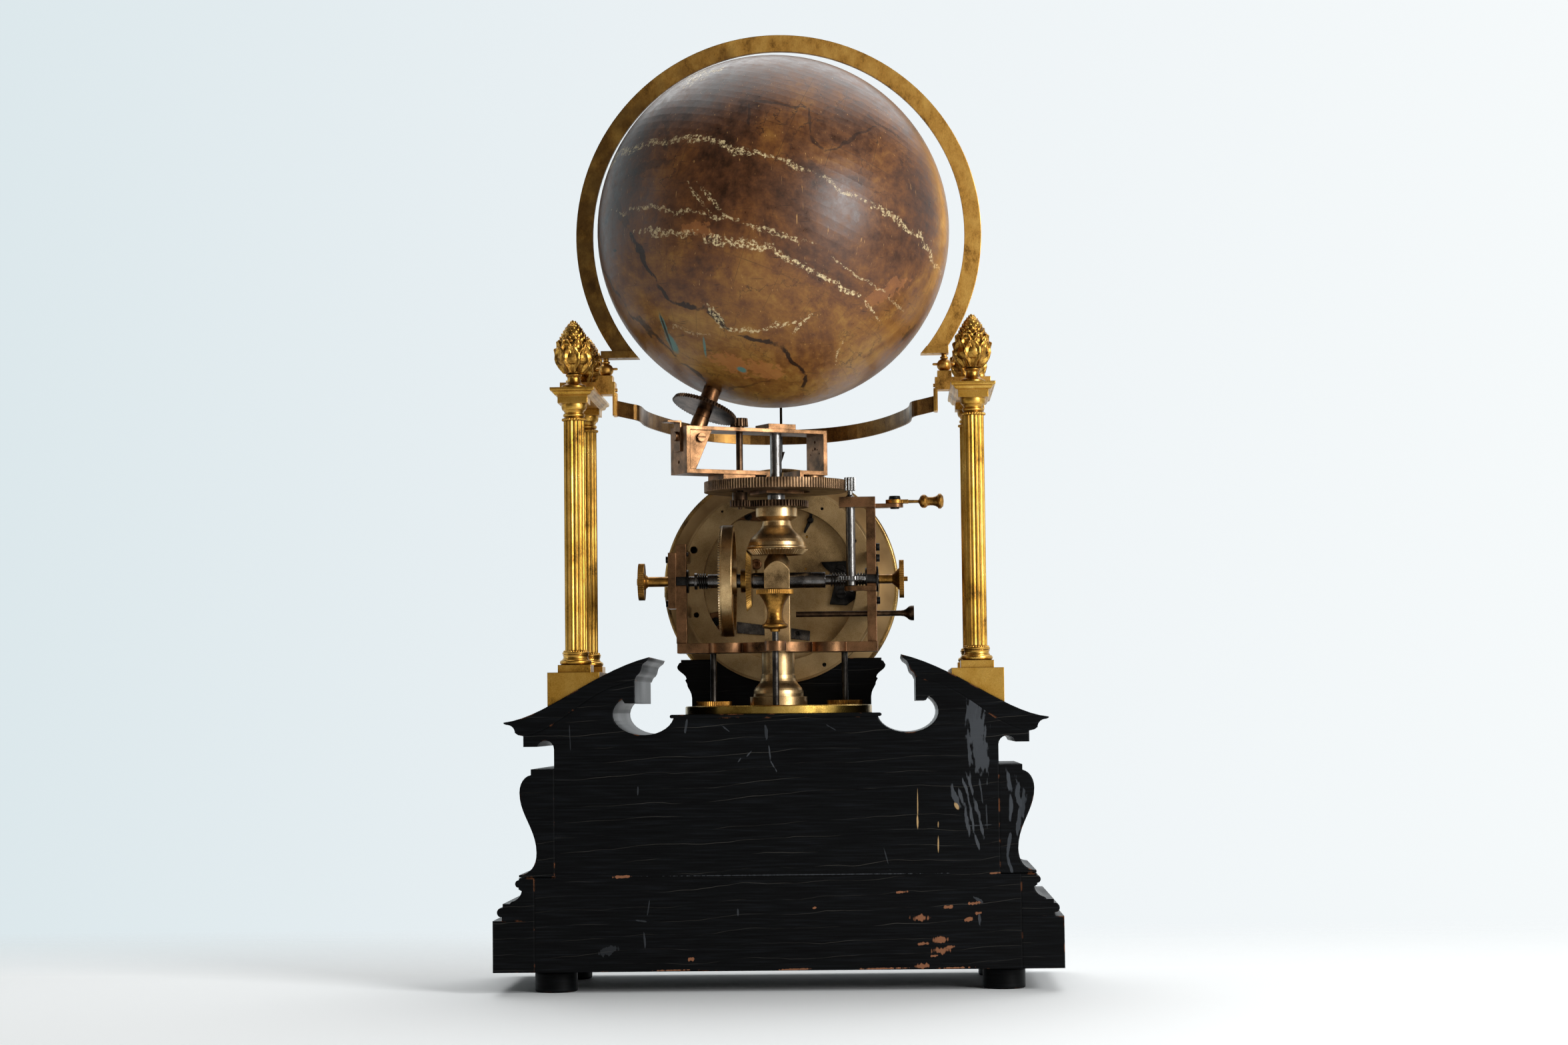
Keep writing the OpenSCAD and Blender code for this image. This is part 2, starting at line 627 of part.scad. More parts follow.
module cup_nut() {
    c = nut_d / 2;
    color("#b58e4a") translate([0, axis_y - rod_pcd_r, cup_z]) difference() {
        union() {
            turn_z(concat([[0, 0], [2.6, 0], [3, 1.4], [5.6, 1.8]], arc([6.2, 3.4], 1.3, -80, 80, 5),
                bez([[6, 4.8], [2.8, 9.5], [4.6, 16], [c - 1.6, cup_h - 3.2]], 8), [[0, cup_h - 3.2]]));
            translate([0, 0, cup_h - 3.2]) linear_extrude(2.6) knurl_2d(c);
            turn_z([[0, cup_h - 0.6], [c - 1.2, cup_h - 0.6], [c - 2.4, cup_h], [0, cup_h]]);
        }
        translate([0, 0, -1]) cylinder(h = cup_h - 1.9, r = rod_d / 2 + run);
    }
}

flange_r = 16.9;
neck_r = 9.7;
taper_h = 10.4;
post_top_r = 4.2;
z_taper = z_shaft + 6.4;
shaft_r = 4.7;
core_r = 3;

module pillar() {
    color("#b08a4e") difference() {
        union() {
            at_axis(z_pillar) turn_z(concat([[0, 0], [flange_r, 0], [flange_r, 5.1], [14.9, 5.1],
                [14.9, 7]],
                bez([[14.9, 7], [14.2, 12.5], [neck_r + 0.4, 11.5], [neck_r + 0.2, 18]], 8),
                [[neck_r, 18.4], [neck_r, pillar_h], [0, pillar_h]]));
            at_axis(z_post) intersection() {
                translate([-post_w / 2, -post_w / 2, 0])
                    cube([post_w, post_w, z_taper - z_post + taper_h]);
                turn_z([[0, 0], [post_w, 0], [post_w, z_taper - z_post - 4],
                    [post_w / sqrt(2) + 0.2, z_taper - z_post - 1],
                    [post_top_r, z_taper - z_post + taper_h], [0, z_taper - z_post + taper_h]]);
            }
        }
        translate([-post_w, axis_y, z_shaft]) rotate([0, 90, 0])
            cylinder(h = 2 * post_w, r = shaft_r + run);
        at_axis(z_taper + taper_h - 4) cylinder(h = 5, d = centre_d);
    }
}

lobe_r = 6.2;
module frame_plate() {
    color("#a8683f") at_axis(z_frame) difference() {
        linear_extrude(frame_t) difference() {
            union() {
                circle(r = 23);
                translate([-frame_hw, -9]) square([2 * frame_hw, 18]);
                for (a = rod_a) rotate(a) {
                    translate([rod_pcd_r, 0]) circle(r = lobe_r);
                    translate([0, -5]) square([rod_pcd_r, 10]);
                }
                for (s = [-1, 1]) translate([s * 30, -3]) circle(r = 12);
            }
            for (a = rod_a) rotate(a) translate([rod_pcd_r, 0]) circle(d = rod_d + 2 * run);
        }
    }
}

// Side uprights and the arms that carry the annual arbor
up_l0 = -59.5;
up_l1 = -53.5;
up_r0 = 53;
up_r1 = 58.5;
up_w = 12;
worm_wheel_r = 8;
arbor_y = axis_y - worm_r - worm_wheel_r;
push_z = z_post + 16.6;
push_y = axis_y + 2;
arm_low_z = z_shaft - 7.2;
arm_low_t = 2.8;
z_sun = z_shaft + 43;
arm_top_z = z_sun - 1.2;
arm_top_t = 6;
arbor_r = 2.75;
pivot_r = 1.5;
bush_r = 6.5;

module frame_uprights() {
    color("#a8683f") {
        difference() {
            translate([up_l0, axis_y - up_w / 2, z_post])
                cube([up_l1 - up_l0, up_w, z_shaft + 21.8 - z_post]);
            translate([up_l0 - 1, axis_y, z_shaft]) rotate([0, 90, 0]) cylinder(h = 10, r = bush_r);
        }
        difference() {
            translate([up_l0 - 4.6, axis_y - 8, z_shaft - 16.2]) cube([4.6, 16, 33]);
            translate([up_l0 - 6, axis_y, z_shaft]) rotate([0, 90, 0]) cylinder(h = 10, r = core_r + run);
        }
        difference() {
            union() {
                translate([up_r0, axis_y - up_w / 2, z_post])
                    cube([up_r1 - up_r0, up_w, arm_top_z + arm_top_t - z_post]);
                translate([arbor_x - 6.5, arbor_y - 5, arm_top_z])
                    cube([up_r1 - arbor_x + 6.5, 10, arm_top_t]);
                translate([up_r0, arbor_y - 5, arm_top_z])
                    cube([up_r1 - up_r0, axis_y - arbor_y + 5, arm_top_t]);
                translate([arbor_x, arbor_y - 4, arm_low_z]) cube([up_r1 - arbor_x, 8, arm_low_t]);
                translate([arbor_x, arbor_y, arm_low_z]) cylinder(h = arm_low_t, r = 4);
                translate([up_r0, arbor_y - 4, arm_low_z])
                    cube([up_r1 - up_r0, axis_y - arbor_y, arm_low_t]);
            }
            translate([up_r0 - 1, axis_y, z_shaft]) rotate([0, 90, 0]) cylinder(h = 10, r = bush_r);
            translate([up_r0 - 1, push_y, push_z]) rotate([0, 90, 0]) cylinder(h = 10, r = push_r + run);
            translate([arbor_x, arbor_y, arm_top_z - 1]) cylinder(h = arm_top_t + 2, r = arbor_r + run);
            translate([arbor_x, arbor_y, arm_low_z - 1]) cylinder(h = arm_low_t + 2, r = pivot_r + run);
        }
        // Ties from the uprights to the drum's back plate
        for (x = [up_l0, up_r0], dz = [-20, 13]) translate([x, axis_y + up_w / 2, z_shaft + dz])
            cube([up_r1 - up_r0, y_drum + back_in - up_w / 2 - axis_y, 6]);
        translate([up_r1, axis_y - 5, arm_top_z + 0.4]) difference() {
            union() {
                cube([lever_x - up_r1, 10, lever_arm_t]);
                translate([lever_x - up_r1, 5, 0]) cylinder(h = lever_arm_t, r = 5);
            }
            translate([lever_x - up_r1, 5, -1]) cylinder(h = lever_arm_t + 2, r = lever_pin_r);
        }
    }
}
lever_x = 70;
lever_arm_t = 2.2;
lever_pin_r = 1.2;
push_r = 1.65;

module screw_x(x, y, z, r, h, dir) {
    translate([x, y, z]) rotate([0, dir * 90, 0]) difference() {
        cylinder(h = h, r = r);
        translate([-r - 1, -0.3, h - 0.6]) cube([2 * r + 2, 0.6, 1]);
    }
}

module bushes_and_screws() {
    color("#3b3835") {
        translate([0, axis_y, z_shaft]) {
            turn_x([[core_r + run, up_l0], [bush_r, up_l0], [bush_r, up_l1], [bush_r + 0.4, up_l1],
                [bush_r + 0.4, up_l1 + 1.2], [core_r + run, up_l1 + 1.2]]);
            turn_x([[core_r + run, up_r0 - 1], [bush_r + 0.4, up_r0 - 1], [bush_r + 0.4, up_r0],
                [bush_r, up_r0],
                [bush_r, up_r1], [bush_r + 1, up_r1], [bush_r + 1, up_r1 + 1.2],
                    [core_r + run, up_r1 + 1.2]]);
        }
        for (z = [z_shaft - 13, z_shaft + 13]) screw_x(up_l0 - 4.6, axis_y, z, 2, 1.8, -1);
        for (z = [z_shaft + 19, z_shaft + 12.5, z_shaft - 12.6], y = [axis_y - 2.6, axis_y + 3])
            screw_x(up_r1, y, z, 2.1, 2.2, 1);
        screw_x(up_l1, axis_y, z_shaft + 16, 1.2, 1, 1);
        translate([lever_x, axis_y, arm_top_z + 0.4])
            turn_z([[0, -0.8], [2.6, -0.8], [2.6, 0], [lever_pin_r, 0],
            [lever_pin_r, lever_arm_t + gap + lever_t + 0.3], [3.6, lever_arm_t + gap + lever_t + 0.3],
            [3.2, lever_arm_t + lever_t + 2.4], [0, lever_arm_t + lever_t + 2.4]]);
    }
}

// Gear heights and cage sizes
sun_t = 3.8;
annual_t = 6;
hole_r = 20;
wheel_d = globe_r + wheel_gap;
pivot_end = globe_r + 30.5;
cage_l = -pivot_end * sin(tilt) - 10.2;
cage_r = 29;
cage_w = 21;
cage_t = 2.5;
top_t = 2.2;
loop_l = -12;
loop_r = 13;
loop_z = z_annual - 1.4;
z_pad_r = z_annual + annual_t + 4;
collar_z = z_sun + sun_t + 0.7;

module central_shaft() {
    z0 = z_taper + taper_h - 4;
    color("#8f8d88") at_axis(0) turn_z([[0, z0], [centre_d / 2, z0], [centre_d / 2, collar_z],
        [5.2, collar_z], [5.2, loop_z - gap], [centre_d / 2, loop_z - gap],
        [centre_d / 2, z_cage_top + top_t + 2.6], [0, z_cage_top + top_t + 2.6]]);
}

// Places of the pieces on the main shaft
bevel_x = -bevel_r;
bevel_t = 3;
drive_x0 = -33.6;
drive_x1 = -25.2;
crown_h = 1.2;
sleeve_r = 4.15;
spring_x0 = -47.2;
spring_x1 = -41;
worm_x0 = 31.2;
worm_pitch = 2 * PI * worm_wheel_r / worm_n;
knob_l_x = up_l0 - 4.6 - gap;
knob_r_x = up_r1 + 1.2 + gap;

module main_shaft() {
    color("#77746e") translate([0, axis_y, z_shaft]) turn_x([[0, knob_l_x], [core_r, knob_l_x],
        [core_r, spring_x0 - 1.6], [5, spring_x0 - 1.6], [5, spring_x0 - 0.1], [core_r, spring_x0 - 0.1],
        [core_r, spring_x1], [sleeve_r, spring_x1], [sleeve_r, bevel_x + bevel_t + 0.5],
            [shaft_r, bevel_x + bevel_t + 0.5],
        [shaft_r, 28.5], [core_r, 28.5], [core_r, knob_r_x], [0, knob_r_x]]);
}

bevel_m = 2 * bevel_r / bevel_n;
// Bevel wheel on the main shaft, its large end away from the post
module bevel_wheel() {
    small = (bevel_r - bevel_t) / (bevel_r);
    color("#a1783f") translate([bevel_x, axis_y, z_shaft]) rotate([0, 90, 0]) difference() {
        union() {
            linear_extrude(bevel_t, scale = small) gear_2d(bevel_n, bevel_m, 0.55, 0.8, 0.2, 3);
            translate([0, 0, -3.4]) cylinder(h = 3.4, r = 7);
        }
        translate([0, 0, -4]) cylinder(h = bevel_t + 5, r = sleeve_r);
    }
}

crown_ro = drive_r - 0.3;
crown_rm = drive_r - 1.5;
crown_m = 2 * crown_rm / drive_n;
module drive_wheel() {
    w = 2 * PI * crown_rm / drive_n;
    x0 = drive_x0 + crown_h;
    color("#a1683c") translate([0, axis_y, z_shaft]) {
        difference() {
            turn_x([[sleeve_r, x0 + 1.2], [8, x0 + 1.2], [8, x0 + 2.6], [drive_r - 3.4, x0 + 2.6],
                [drive_r - 3.4, drive_x0],
                [crown_ro, drive_x0], [crown_ro, x0 + 0.4], [drive_r, x0 + 0.7],
                    [drive_r, drive_x1 - 0.5], [drive_r - 0.6, drive_x1],
                [drive_r - 3.4, drive_x1], [drive_r - 3.4, x0 + 5], [8, x0 + 5], [8, drive_x1 + 1.5],
                    [sleeve_r, drive_x1 + 1.5]]);
            for (k = [0:drive_n - 1]) rotate([360 * (k + 0.5) / drive_n, 0, 0])
                translate([x0, 0, drive_r - 5]) linear_extrude(6)
                    polygon([[0, -w * 0.13], [0, w * 0.13], [-crown_h - 0.1, w * 0.417],
                        [-crown_h - 0.1, -w * 0.417]]);
        }
    }
}

// Steel coil spring on the sleeve, one wire wound round the shaft
spring_curls = 4;
wire_r = 0.5;
spring_r = 4.2;
module shaft_spring() {
    rings = 8 * spring_curls + 1;
    sides = 6;
    pitch = (spring_x1 - spring_x0 - 2 * wire_r) / spring_curls;
    pts = [for (i = [0:rings - 1]) let (a = 45 * i, x = spring_x0 + wire_r + pitch * i / 8)
        for (j = [0:sides - 1]) let (b = 60 * j, r = spring_r + wire_r * cos(b))
            [x + wire_r * sin(b), axis_y + r * cos(a), z_shaft + r * sin(a)]];
    walls = [for (i = [0:rings - 2]) for (j = [0:sides - 1]) let (k = (j + 1) % sides)
        for (f = [[i * sides + j, i * sides + k, (i + 1) * sides + k],
            [i * sides + j, (i + 1) * sides + k, (i + 1) * sides + j]]) f];
    ends = [for (j = [1:sides - 2]) for (f = [[0, j + 1, j],
        [(rings - 1) * sides, (rings - 1) * sides + j, (rings - 1) * sides + j + 1]]) f];
    color("#4a4743") polyhedron(pts, concat(walls, ends));
}

// Left-handed worm thread wound on the shaft's thin end
worm_turns = 12;
module worm() {
    per = 16;
    steps = per * worm_turns;
    inner = (core_r + 0.03) / cos(180 / per);
    depth = 0.5;
    w = worm_pitch;
    section = [[inner, -w * 0.29], [worm_r + depth, -w * 0.13], [worm_r + depth, w * 0.13],
        [inner, w * 0.29]];
    pts = [for (i = [0:steps]) let (a = -360 * i / per, x = worm_x0 + w * i / per) for (s = section)
        [x + s[1], s[0] * cos(a + 90), s[0] * sin(a + 90)]];
    walls = [for (i = [0:steps - 1]) for (j = [0:3]) let (k = (j + 1) % 4)
        for (f = [[i * 4 + j, (i + 1) * 4 + k, i * 4 + k],
            [i * 4 + j, (i + 1) * 4 + j, (i + 1) * 4 + k]]) f];
    ends = [[0, 1, 2], [0, 2, 3], [steps * 4 + 2, steps * 4 + 1, steps * 4],
        [steps * 4 + 3, steps * 4 + 2, steps * 4]];
    color("#55524d") translate([0, axis_y, z_shaft]) polyhedron(pts, concat(walls, ends));
}

module shaft_knobs() {
    l = knob_l_x;
    r = knob_r_x;
    color("#b58e4a") translate([0, axis_y, z_shaft]) {
        turn_x([[0, l], [core_r, l], [core_r, l - 12], [4.4, l - 13.5], [5, l - 13.8], [5, l - 14],
            [0, l - 14]]);
        rotate([0, -90, 0]) translate([0, 0, 14 - l]) linear_extrude(3.6) knurl_2d(knob_left_d / 2);
        turn_x([[0, l - 17.6], [3, l - 17.6], [2, l - 18.6], [0, l - 18.6]]);
        turn_x([[0, r], [2.8, r], [2.8, r + 8], [4, r + 9.6], [6.6, r + 12], [0, r + 12]]);
        rotate([0, 90, 0]) translate([0, 0, r + 12]) linear_extrude(2.8) knurl_2d(knob_right_d / 2);
        turn_x([[0, r + 14.8], [1.4, r + 14.8], [1.4, r + 17], [0, r + 17]]);
    }
}

collar_r = 12.25;
// Bell hub: bevel ring at its mouth, neck and collar above, turning on the central shaft
module day_bell() {
    b = z_shaft + bevel_r;
    bore = centre_d / 2 + run;
    small = (bevel_r - bevel_t) / bevel_r;
    color("#b08348") at_axis(0) {
        union() {
            turn_z(concat([[bore, z_taper + taper_h + gap], [post_top_r + 1.4, z_taper + taper_h + gap],
                [post_top_r + 1.4, b + 8], [12.6, b + 2], [12.6, b], [16.9, b], [17.6, b + 0.8],
                    [17.6, b + 1.6]],
                bez([[17, b + 2.2], [16.2, b + 9.5], [9, b + 10], [8.4, b + 16]], 9),
                [[8.4, b + 17], [collar_r, b + 19.5], [collar_r, z_sun], [bore, z_sun]]));
            translate([0, 0, b]) mirror([0, 0, 1]) difference() {
                linear_extrude(bevel_t, scale = small) gear_2d(bevel_n, bevel_m, 0.55, 0.8, 0.2, 0);
                translate([0, 0, -1]) cylinder(h = bevel_t + 2, r = 12.6);
            }
        }
    }
}

sun_m = 2 * planet_u / (sun_n + planet_n);
module sun_gear() {
    color("#a9814a") at_axis(z_sun) difference() {
        linear_extrude(sun_t) rotate(cage_turn) gear_2d(sun_n, sun_m, 0.7, 1, 0.14, 0);
        translate([0, 0, -1]) cylinder(h = sun_t + 2, r = centre_d / 2 + run);
    }
}

// Cage

module in_cage() {
    at_axis(0) rotate(cage_turn) children();
}
annual_c = norm([arbor_x, arbor_y - axis_y]);
annual_m = 2 * annual_c / (annual_n + annual_pn);
annual_a = atan2(arbor_y - axis_y, arbor_x);
pad_l = [-40, -19];
pad_w = 20;

module annual_gear() {
    color("#a8683f") at_axis(z_annual) difference() {
        linear_extrude(annual_t) gear_2d(annual_n, annual_m, 0.5, 0.9, 0.16, annual_a);
        translate([0, 0, -1]) cylinder(h = annual_t + 2, r = hole_r);
        rotate(cage_turn) translate([-planet_u, 0, -1]) cylinder(h = annual_t + 2, r = 6);
    }
}

function along(p, d) = [p[0] - d * sin(tilt), p[1] - d * cos(tilt)];
pole = [0, z_globe];
wheel_t = 2.4;
screw_r = 2.7;

module cage() {
    hw = cage_w / 2;
    color("#a8683f") in_cage() difference() {
        rotate([90, 0, 0]) translate([0, 0, -hw]) linear_extrude(cage_w) difference() {
            polygon([[cage_l, z_cage_bar], [loop_l, z_cage_bar], [loop_l, loop_z], [loop_r, loop_z],
                [loop_r, z_pad_r], [cage_r, z_pad_r], [cage_r, z_cage_top + top_t],
                    [cage_l, z_cage_top + top_t]]);
            polygon([[cage_l + cage_t, z_cage_bar + cage_t], [loop_l + cage_t, z_cage_bar + cage_t],
                [loop_l + cage_t, loop_z + cage_t], [loop_r - cage_t, loop_z + cage_t],
                [loop_r - cage_t, z_pad_r + cage_t], [cage_r - cage_t, z_pad_r + cage_t],
                [cage_r - cage_t, z_cage_top], [cage_l + cage_t, z_cage_top]]);
        }
        translate([0, 0, loop_z - 1]) cylinder(h = z_cage_top - loop_z + 8, r = centre_d / 2 + run);
        translate([-planet_u, 0, z_cage_bar - 1]) cylinder(h = z_cage_top - z_cage_bar + 8, r = 2 + run);
        translate([0, 0, z_globe]) rotate([0, tilt, 0]) translate([0, 0, -pivot_end - 2])
            cylinder(h = 40, r = 5);
        for (v = [-5.2, -2.6, 2.6, 5.2]) translate([cage_r - 4, v, z_cage_top - 6 - abs(v)])
            rotate([0, 90, 0])
            cylinder(h = 6, r = 0.5);
        for (z = [4, 8]) translate([cage_r - 4, 0, z_cage_top - z]) rotate([0, 90, 0])
            cylinder(h = 6, r = 0.9);
        translate([cage_l - 1, 0, z_cage_bar + 7]) rotate([0, 90, 0]) cylinder(h = 5, r = 1);
    }
    color("#a8683f") in_cage() difference() {
        translate([-9, -cage_w / 2 + 2, z_cage_top + top_t]) cube([18, cage_w - 4, 3.2]);
        translate([0, 0, z_cage_top]) cylinder(h = top_t + 2.6 + gap, r = centre_d / 2 + run);
    }
    color("#b69a45") in_cage() {
        difference() {
            translate([pad_l[0], -pad_w / 2, z_annual + annual_t])
                cube([pad_l[1] - pad_l[0], pad_w, z_cage_bar - z_annual - annual_t]);
            translate([-planet_u, 0, z_annual]) cylinder(h = 30, r = 3);
        }
        difference() {
            translate([loop_r + 9.5, 0, z_annual + annual_t])
                cylinder(h = z_pad_r - z_annual - annual_t, r = 9);
            translate([0, 0, z_annual]) cylinder(h = 20, r = loop_r + 0.4);
        }
    }
    color("#5a4a30") in_cage() {
        translate([cage_l - 1.1, -4, z_cage_bar + 13]) cube([1.1, 8, 18]);
        translate([cage_l - 9, -4, z_cage_bar + 29.9]) cube([7.9, 8, 1.1]);
        translate([cage_l - 3, 0, z_cage_bar + 22]) rotate([0, 90, 0]) cylinder(h = 1.9, r = 2.8);
    }
}

// Bearing block for the lower end of the globe's inclined arbor, with its clamp screw
module trunnion_block() {
    hw = cage_w / 2 - 1;
    z0 = z_cage_bar + cage_t;
    inside = cage_l + cage_t;
    bore_end = along(pole, pivot_end);
    color("#b87348") in_cage() difference() {
        union() {
            rotate([90, 0, 0]) translate([0, 0, -hw]) linear_extrude(2 * hw)
                polygon([[inside, z0], [inside + 4, z0], [inside + 14.5, z_cage_top],
                    [inside, z_cage_top]]);
            translate([0, 0, z_globe]) rotate([0, tilt, 0]) translate([0, 0, -pivot_end + 2])
                cylinder(h = pivot_end - wheel_d - 7.9, r = 4.9);
        }
        translate([0, 0, z_globe]) rotate([0, tilt, 0]) translate([0, 0, -pivot_end])
            cylinder(h = 40, r = 2.35 + run);
        translate([inside + 7, -hw - 1, z_cage_top - 4.5]) rotate([-90, 0, 0]) cylinder(h = 5, r = 1.4);
    }
    color("#6f6c66") in_cage() translate([inside + 7, -hw, z_cage_top - 4.5]) rotate([90, 0, 0])
        difference() {
        union() {
            translate([0, 0, -4]) cylinder(h = 4, r = 1.4);
            cylinder(h = 2.4, r = screw_r);
        }
        translate([-4, -0.4, 1.6]) cube([8, 0.8, 2]);
    }
}

// Bevel pair between planet arbor and globe wheel: both cones meet at one apex on the globe's axis
apex_d = planet_u / sin(tilt);
ratio_g = globe_n / planet_top_n;
cone_p = atan(sin(tilt) / (ratio_g + cos(tilt)));
cone_g = tilt - cone_p;
wheel_l = wheel_d - apex_d;
wheel_r = wheel_l * tan(cone_g);
z_apex = z_globe - apex_d * cos(tilt);
pin_top_z0 = z_cage_top + top_t + 1.4;
pin_top_h = 5;
planet_m = sun_m;

module planet_arbor() {
    l0 = z_apex - pin_top_z0;
    r0 = l0 * tan(cone_p);
    color("#8a8782") in_cage() translate([-planet_u, 0, 0]) {
        turn_z([[0, z_sun - 1.4], [1.2, z_sun - 1.4], [1.2, z_sun], [0, z_sun]]);
        translate([0, 0, z_sun]) linear_extrude(sun_t) gear_2d(planet_n, planet_m, 0.7, 1, 0.14, 10);
        turn_z([[0, z_sun + sun_t], [4.5, z_sun + sun_t], [4.5, z_annual - 0.8], [2, z_annual - 0.8],
            [2, z_cage_top + top_t + gap], [3, z_cage_top + top_t + gap], [3, pin_top_z0],
                [0, pin_top_z0]]);
        translate([0, 0, pin_top_z0]) linear_extrude(pin_top_h, scale = (l0 - pin_top_h) / l0)
            gear_2d(planet_top_n, 2 * r0 / planet_top_n, 0.6, 1, 0.2, 180 / planet_top_n);
    }
}

module on_globe_axis() {
    in_cage() translate([0, 0, z_globe]) rotate([0, tilt, 0]) children();
}

module globe_arbor() {
    z0 = -pivot_end + gap;
    zw = -wheel_d;
    color("#8b7b5c") on_globe_axis() turn_z([[0, z0], [2.35, z0], [2.35, zw - 5.6], [4.5, zw - 5.6],
        [4.5, zw - wheel_t / 2], [3, zw - wheel_t / 2], [3, zw + wheel_t / 2], [5.25, zw + wheel_t / 2],
        [5.25, -globe_r + 0.6], [2.6, -globe_r + 0.6], [2.6, globe_r], [3.6, globe_r],
        [3.6, globe_r + 1], [2, globe_r + 2.4], [0, globe_r + 2.4]]);
}

module globe_wheel() {
    l0 = wheel_l + wheel_t / 2;
    r0 = l0 * tan(cone_g);
    color("#6b5436") on_globe_axis() translate([0, 0, -wheel_d - wheel_t / 2]) difference() {
        linear_extrude(wheel_t, scale = (l0 - wheel_t) / l0)
            gear_2d(globe_n, 2 * r0 / globe_n, 0.6, 1, 0.2, 0);
        translate([0, 0, -1]) cylinder(h = wheel_t + 2, r = 3);
    }
}

module globe() {
    color("#8d6a33") on_globe_axis() rotate_extrude($fn = 120) polygon(concat(
        arc([0, 0], globe_r, -90 + asin(5.3 / globe_r), 90 - asin(2.7 / globe_r), 60),
        arc([0, 0], globe_r - globe_wall, 90 - asin(2.7 / (globe_r - globe_wall)),
            -90 + asin(5.3 / (globe_r - globe_wall)), 60)));
}

module annual_arbor() {
    z0 = arm_low_z - 0.4;
    zt = z_annual - 0.6;
    color("#7d7a74") translate([arbor_x, arbor_y, 0]) {
        turn_z([[0, z0], [pivot_r, z0], [pivot_r, arm_low_z + arm_low_t + gap],
            [arbor_r, arm_low_z + arm_low_t + gap],
            [arbor_r, arm_top_z + arm_top_t + gap], [pivot_r, arm_top_z + arm_top_t + 1.4], [pivot_r, zt],
                [0, zt]]);
        translate([0, 0, zt]) linear_extrude(annual_t + 1.8)
            gear_2d(annual_pn, annual_m, 0.7, 1, 0.16, annual_a + 180 / annual_pn);
    }
    color("#b08a4e") translate([arbor_x, arbor_y, z_shaft - 1.2]) difference() {
        linear_extrude(2.4) gear_2d(worm_n, 2 * worm_wheel_r / worm_n, 0.7, 1.1, 0.34, worm_a0);
        translate([0, 0, -1]) cylinder(h = 5, r = arbor_r);
    }
}
// Angle of the first tooth, so that a gap of the wheel faces the worm's thread at rest
worm_a0 = 90 - 360 / worm_n * ((worm_x0 - arbor_x) / worm_pitch + 1.25);

module push_rod() {
    x0 = post_w / 2 + rod_travel + gap;
    color("#7a6a4c") translate([0, push_y, push_z]) turn_x(concat([[0, x0], [push_r, x0],
        [push_r, up_r1 + 14]], bez([[push_r, up_r1 + 14], [push_r, up_r1 + 18.5], [4.4, up_r1 + 18],
            [4.4, up_r1 + 20.5]], 5),
        [[4.4, up_r1 + 22], [0, up_r1 + 22]]));
}

lever_t = 2.2;
module setting_lever() {
    z0 = arm_top_z + 0.4 + lever_arm_t + gap / 2;
    color("#a98148") {
        difference() {
            translate([lever_x, axis_y, z0]) union() {
                cylinder(h = lever_t, r = 5.4);
                translate([0, -3, 0]) cube([8, 6, lever_t]);
            }
            translate([lever_x, axis_y, z0 - 1]) cylinder(h = lever_t + 2, r = lever_pin_r + run);
        }
        translate([0, axis_y, z0 + lever_t / 2])
            turn_x(concat([[0, lever_x + 8], [1, lever_x + 8], [0.9, lever_x + 14],
            [1.4, lever_x + 14.4], [2.6, lever_x + 15]],
                bez([[3.2, lever_x + 15.4], [4.4, lever_x + 16.4],
            [4.3, lever_x + 18.4], [3, lever_x + 19.2]], 4),
                bez([[2.7, lever_x + 19.4], [2.2, lever_x + 22],
            [2.6, lever_x + 25], [4.5, lever_x + 26]], 5),
                [[4.5, lever_x + 27.2], [3, lever_x + 28.6], [0, lever_x + 29]]));
    }
}

// Drum and clock movement

z_drum = z_shaft;
y_drum = axis_y + 43.6;
y_dial = y_drum + drum_d;
y_pan = y_dial - pan_d;
body_ri = body_r - drum_wall;
back_in = 0;
back_t = 1.5;
recess_t = 1.5;
recess_d = 7;
y_plate = y_drum + recess_d;
y_in = y_plate + plate_t;
y_out = y_in + plate_gap;
dial_t = 1.5;
z_foot = z_disc;
cradle_y = [axis_y + 50, axis_y + 62];

// Point where circles round a and b with the radii ra and rb cross, on the side given
function meet(a, b, ra, rb, side) = let (d = norm(b - a), u = (b - a) / d,
    x = (ra * ra - rb * rb + d * d) / (2 * d), h = sqrt(ra * ra - x * x))
        a + x * u + side * h * [-u[1], u[0]];
function bearing(a, b) = atan2(b[1] - a[1], b[0] - a[0]);
// Angle of the first tooth of gear b that meshes with gear a, standing at angle t from a
function mesh(t, na, a0, nb) = t + 180 + ((t - a0) * na / 360 + 0.5) * 360 / nb;

crown_pitch_x = drive_x0 + 0.5;
drive_pr = crown_m * drive_pn / 2;
p_centre = [0, z_drum];
p_transfer = [crown_pitch_x - drive_pr, z_shaft];
motion_m = 0.5;
cannon_n = 36;
idler_n = 30;
transfer_n = 60;
p_idler = meet(p_centre, p_transfer, motion_m * (cannon_n + idler_n) / 2,
    motion_m * (idler_n + transfer_n) / 2, -1);
great_m = 0.5;
great_n = 96;
centre_pn = 12;
p_barrel = p_centre - [0, great_m * (great_n + centre_pn) / 2];
centre_m = 0.4;
centre_n = 80;
third_pn = 10;
third_m = 0.35;
third_n = 70;
escape_pn = 10;
p_third = p_centre + centre_m * (centre_n + third_pn) / 2 * [cos(30), sin(30)];
p_escape = p_third + third_m * (third_n + escape_pn) / 2 * [cos(100), sin(100)];
p_balance = p_escape + 6.6 * [cos(60), sin(60)];
front_pivots = [p_third, p_escape, p_balance];
wheel_th = 1.3;
y_motion = y_in + 0.4;
y_great = y_motion + wheel_th + 0.7;
y_centre = y_out - 2.4;
piv_r = 0.8;

module at(p, y) {
    translate([p[0], y, p[1]]) rotate([-90, 0, 0]) children();
}
